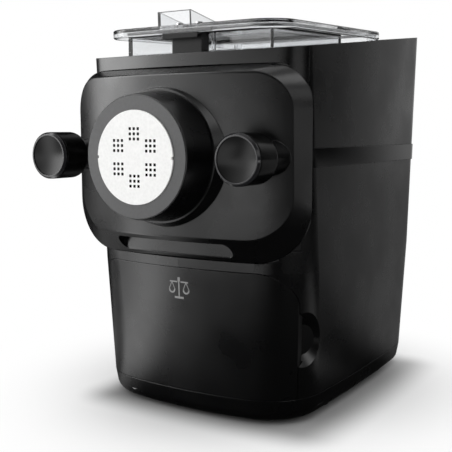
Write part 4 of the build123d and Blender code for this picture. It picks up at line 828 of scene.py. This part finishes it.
FRONT = ((1, 0, 0), (0, 0, 1), (0, 1, 0))       # axes of a sign on an upright front
DOWN = ((1, 0, 0), (0, 1, 0), (0, 0, -1))       # axes of a sign on a top
printed = plastic("grey_print", (0.24, 0.24, 0.24), 0.5, depth=0.004, edge=0.05, highlight_and_speck=1.1)
print("sign maker ready")

# %% [markdown]
# ## Balance sign on the drawer
# The drawer carries a pair of scales, because the housing weighs what goes in. Each row
# is a line of points and its width, in millimetres from the foot of the sign.

# %% Balance sign
SIGN_HEIGHT = 0.0936
scales = [
    ([(-4.2, 0.8), (4.2, 0.8)], 1.6),           # foot
    ([(0, 0.8), (0, 14.2)], 1.2),               # post
    ([(-8.6, 13.2), (8.6, 13.2)], 1.1),         # beam
    ([(0, 13.6), (0, 16.8)], 2.2),              # finial
]
for side in (-1, 1):
    scales += [
        ([(side * 6.6, 13.0), (side * 9.4, 7.0)], 0.6),         # cords
        ([(side * 6.6, 13.0), (side * 3.8, 7.0)], 0.6),
        (arc(side * 6.6, 7.0, 2.5, 180, 360), 1.3),             # pan
    ]
drawer_low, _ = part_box("drawer_front")
add_sign("balance_sign", scales, "drawer_front", "drawer",
         (0.0, drawer_low[1], SIGN_HEIGHT), FRONT, printed)

# %% [markdown]
# ## Symbols on the buttons
# The buttons have plain generic symbols: power, programme, weight and start. Rows are
# lines of points and their widths, in millimetres from the middle of the button.

# %% Button symbols
symbols = {
    "power": [(arc(0, 0, 2.6, 125, 415, 24), 0.6), ([(0, 0.6), (0, 3.4)], 0.6)],
    "program": [([(-3, y), (3, y)], 0.6) for y in (-1.8, 0.0, 1.8)],
    "weight": [([(-3, -1.8), (3, -1.8)], 0.7), ([(0, -1.8), (0, 1.4)], 0.6),
               (arc(0, 1.4, 2.4, 180, 360, 12), 0.6)],
    "start": [([(-1.8, -2.6), (-1.8, 2.6)], 0.6), ([(-1.9, 2.5), (2.6, 0.0)], 0.6),
              ([(2.6, 0.0), (-1.9, -2.5)], 0.6)],
}
for word, strokes in symbols.items():
    low, high = (Vector(corner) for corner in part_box(f"{word}_button"))
    middle = (low + high) / 2
    add_sign(f"{word}_symbol", strokes, f"{word}_button", f"{word}_key",
             (middle.x, middle.y, high.z), DOWN, printed)
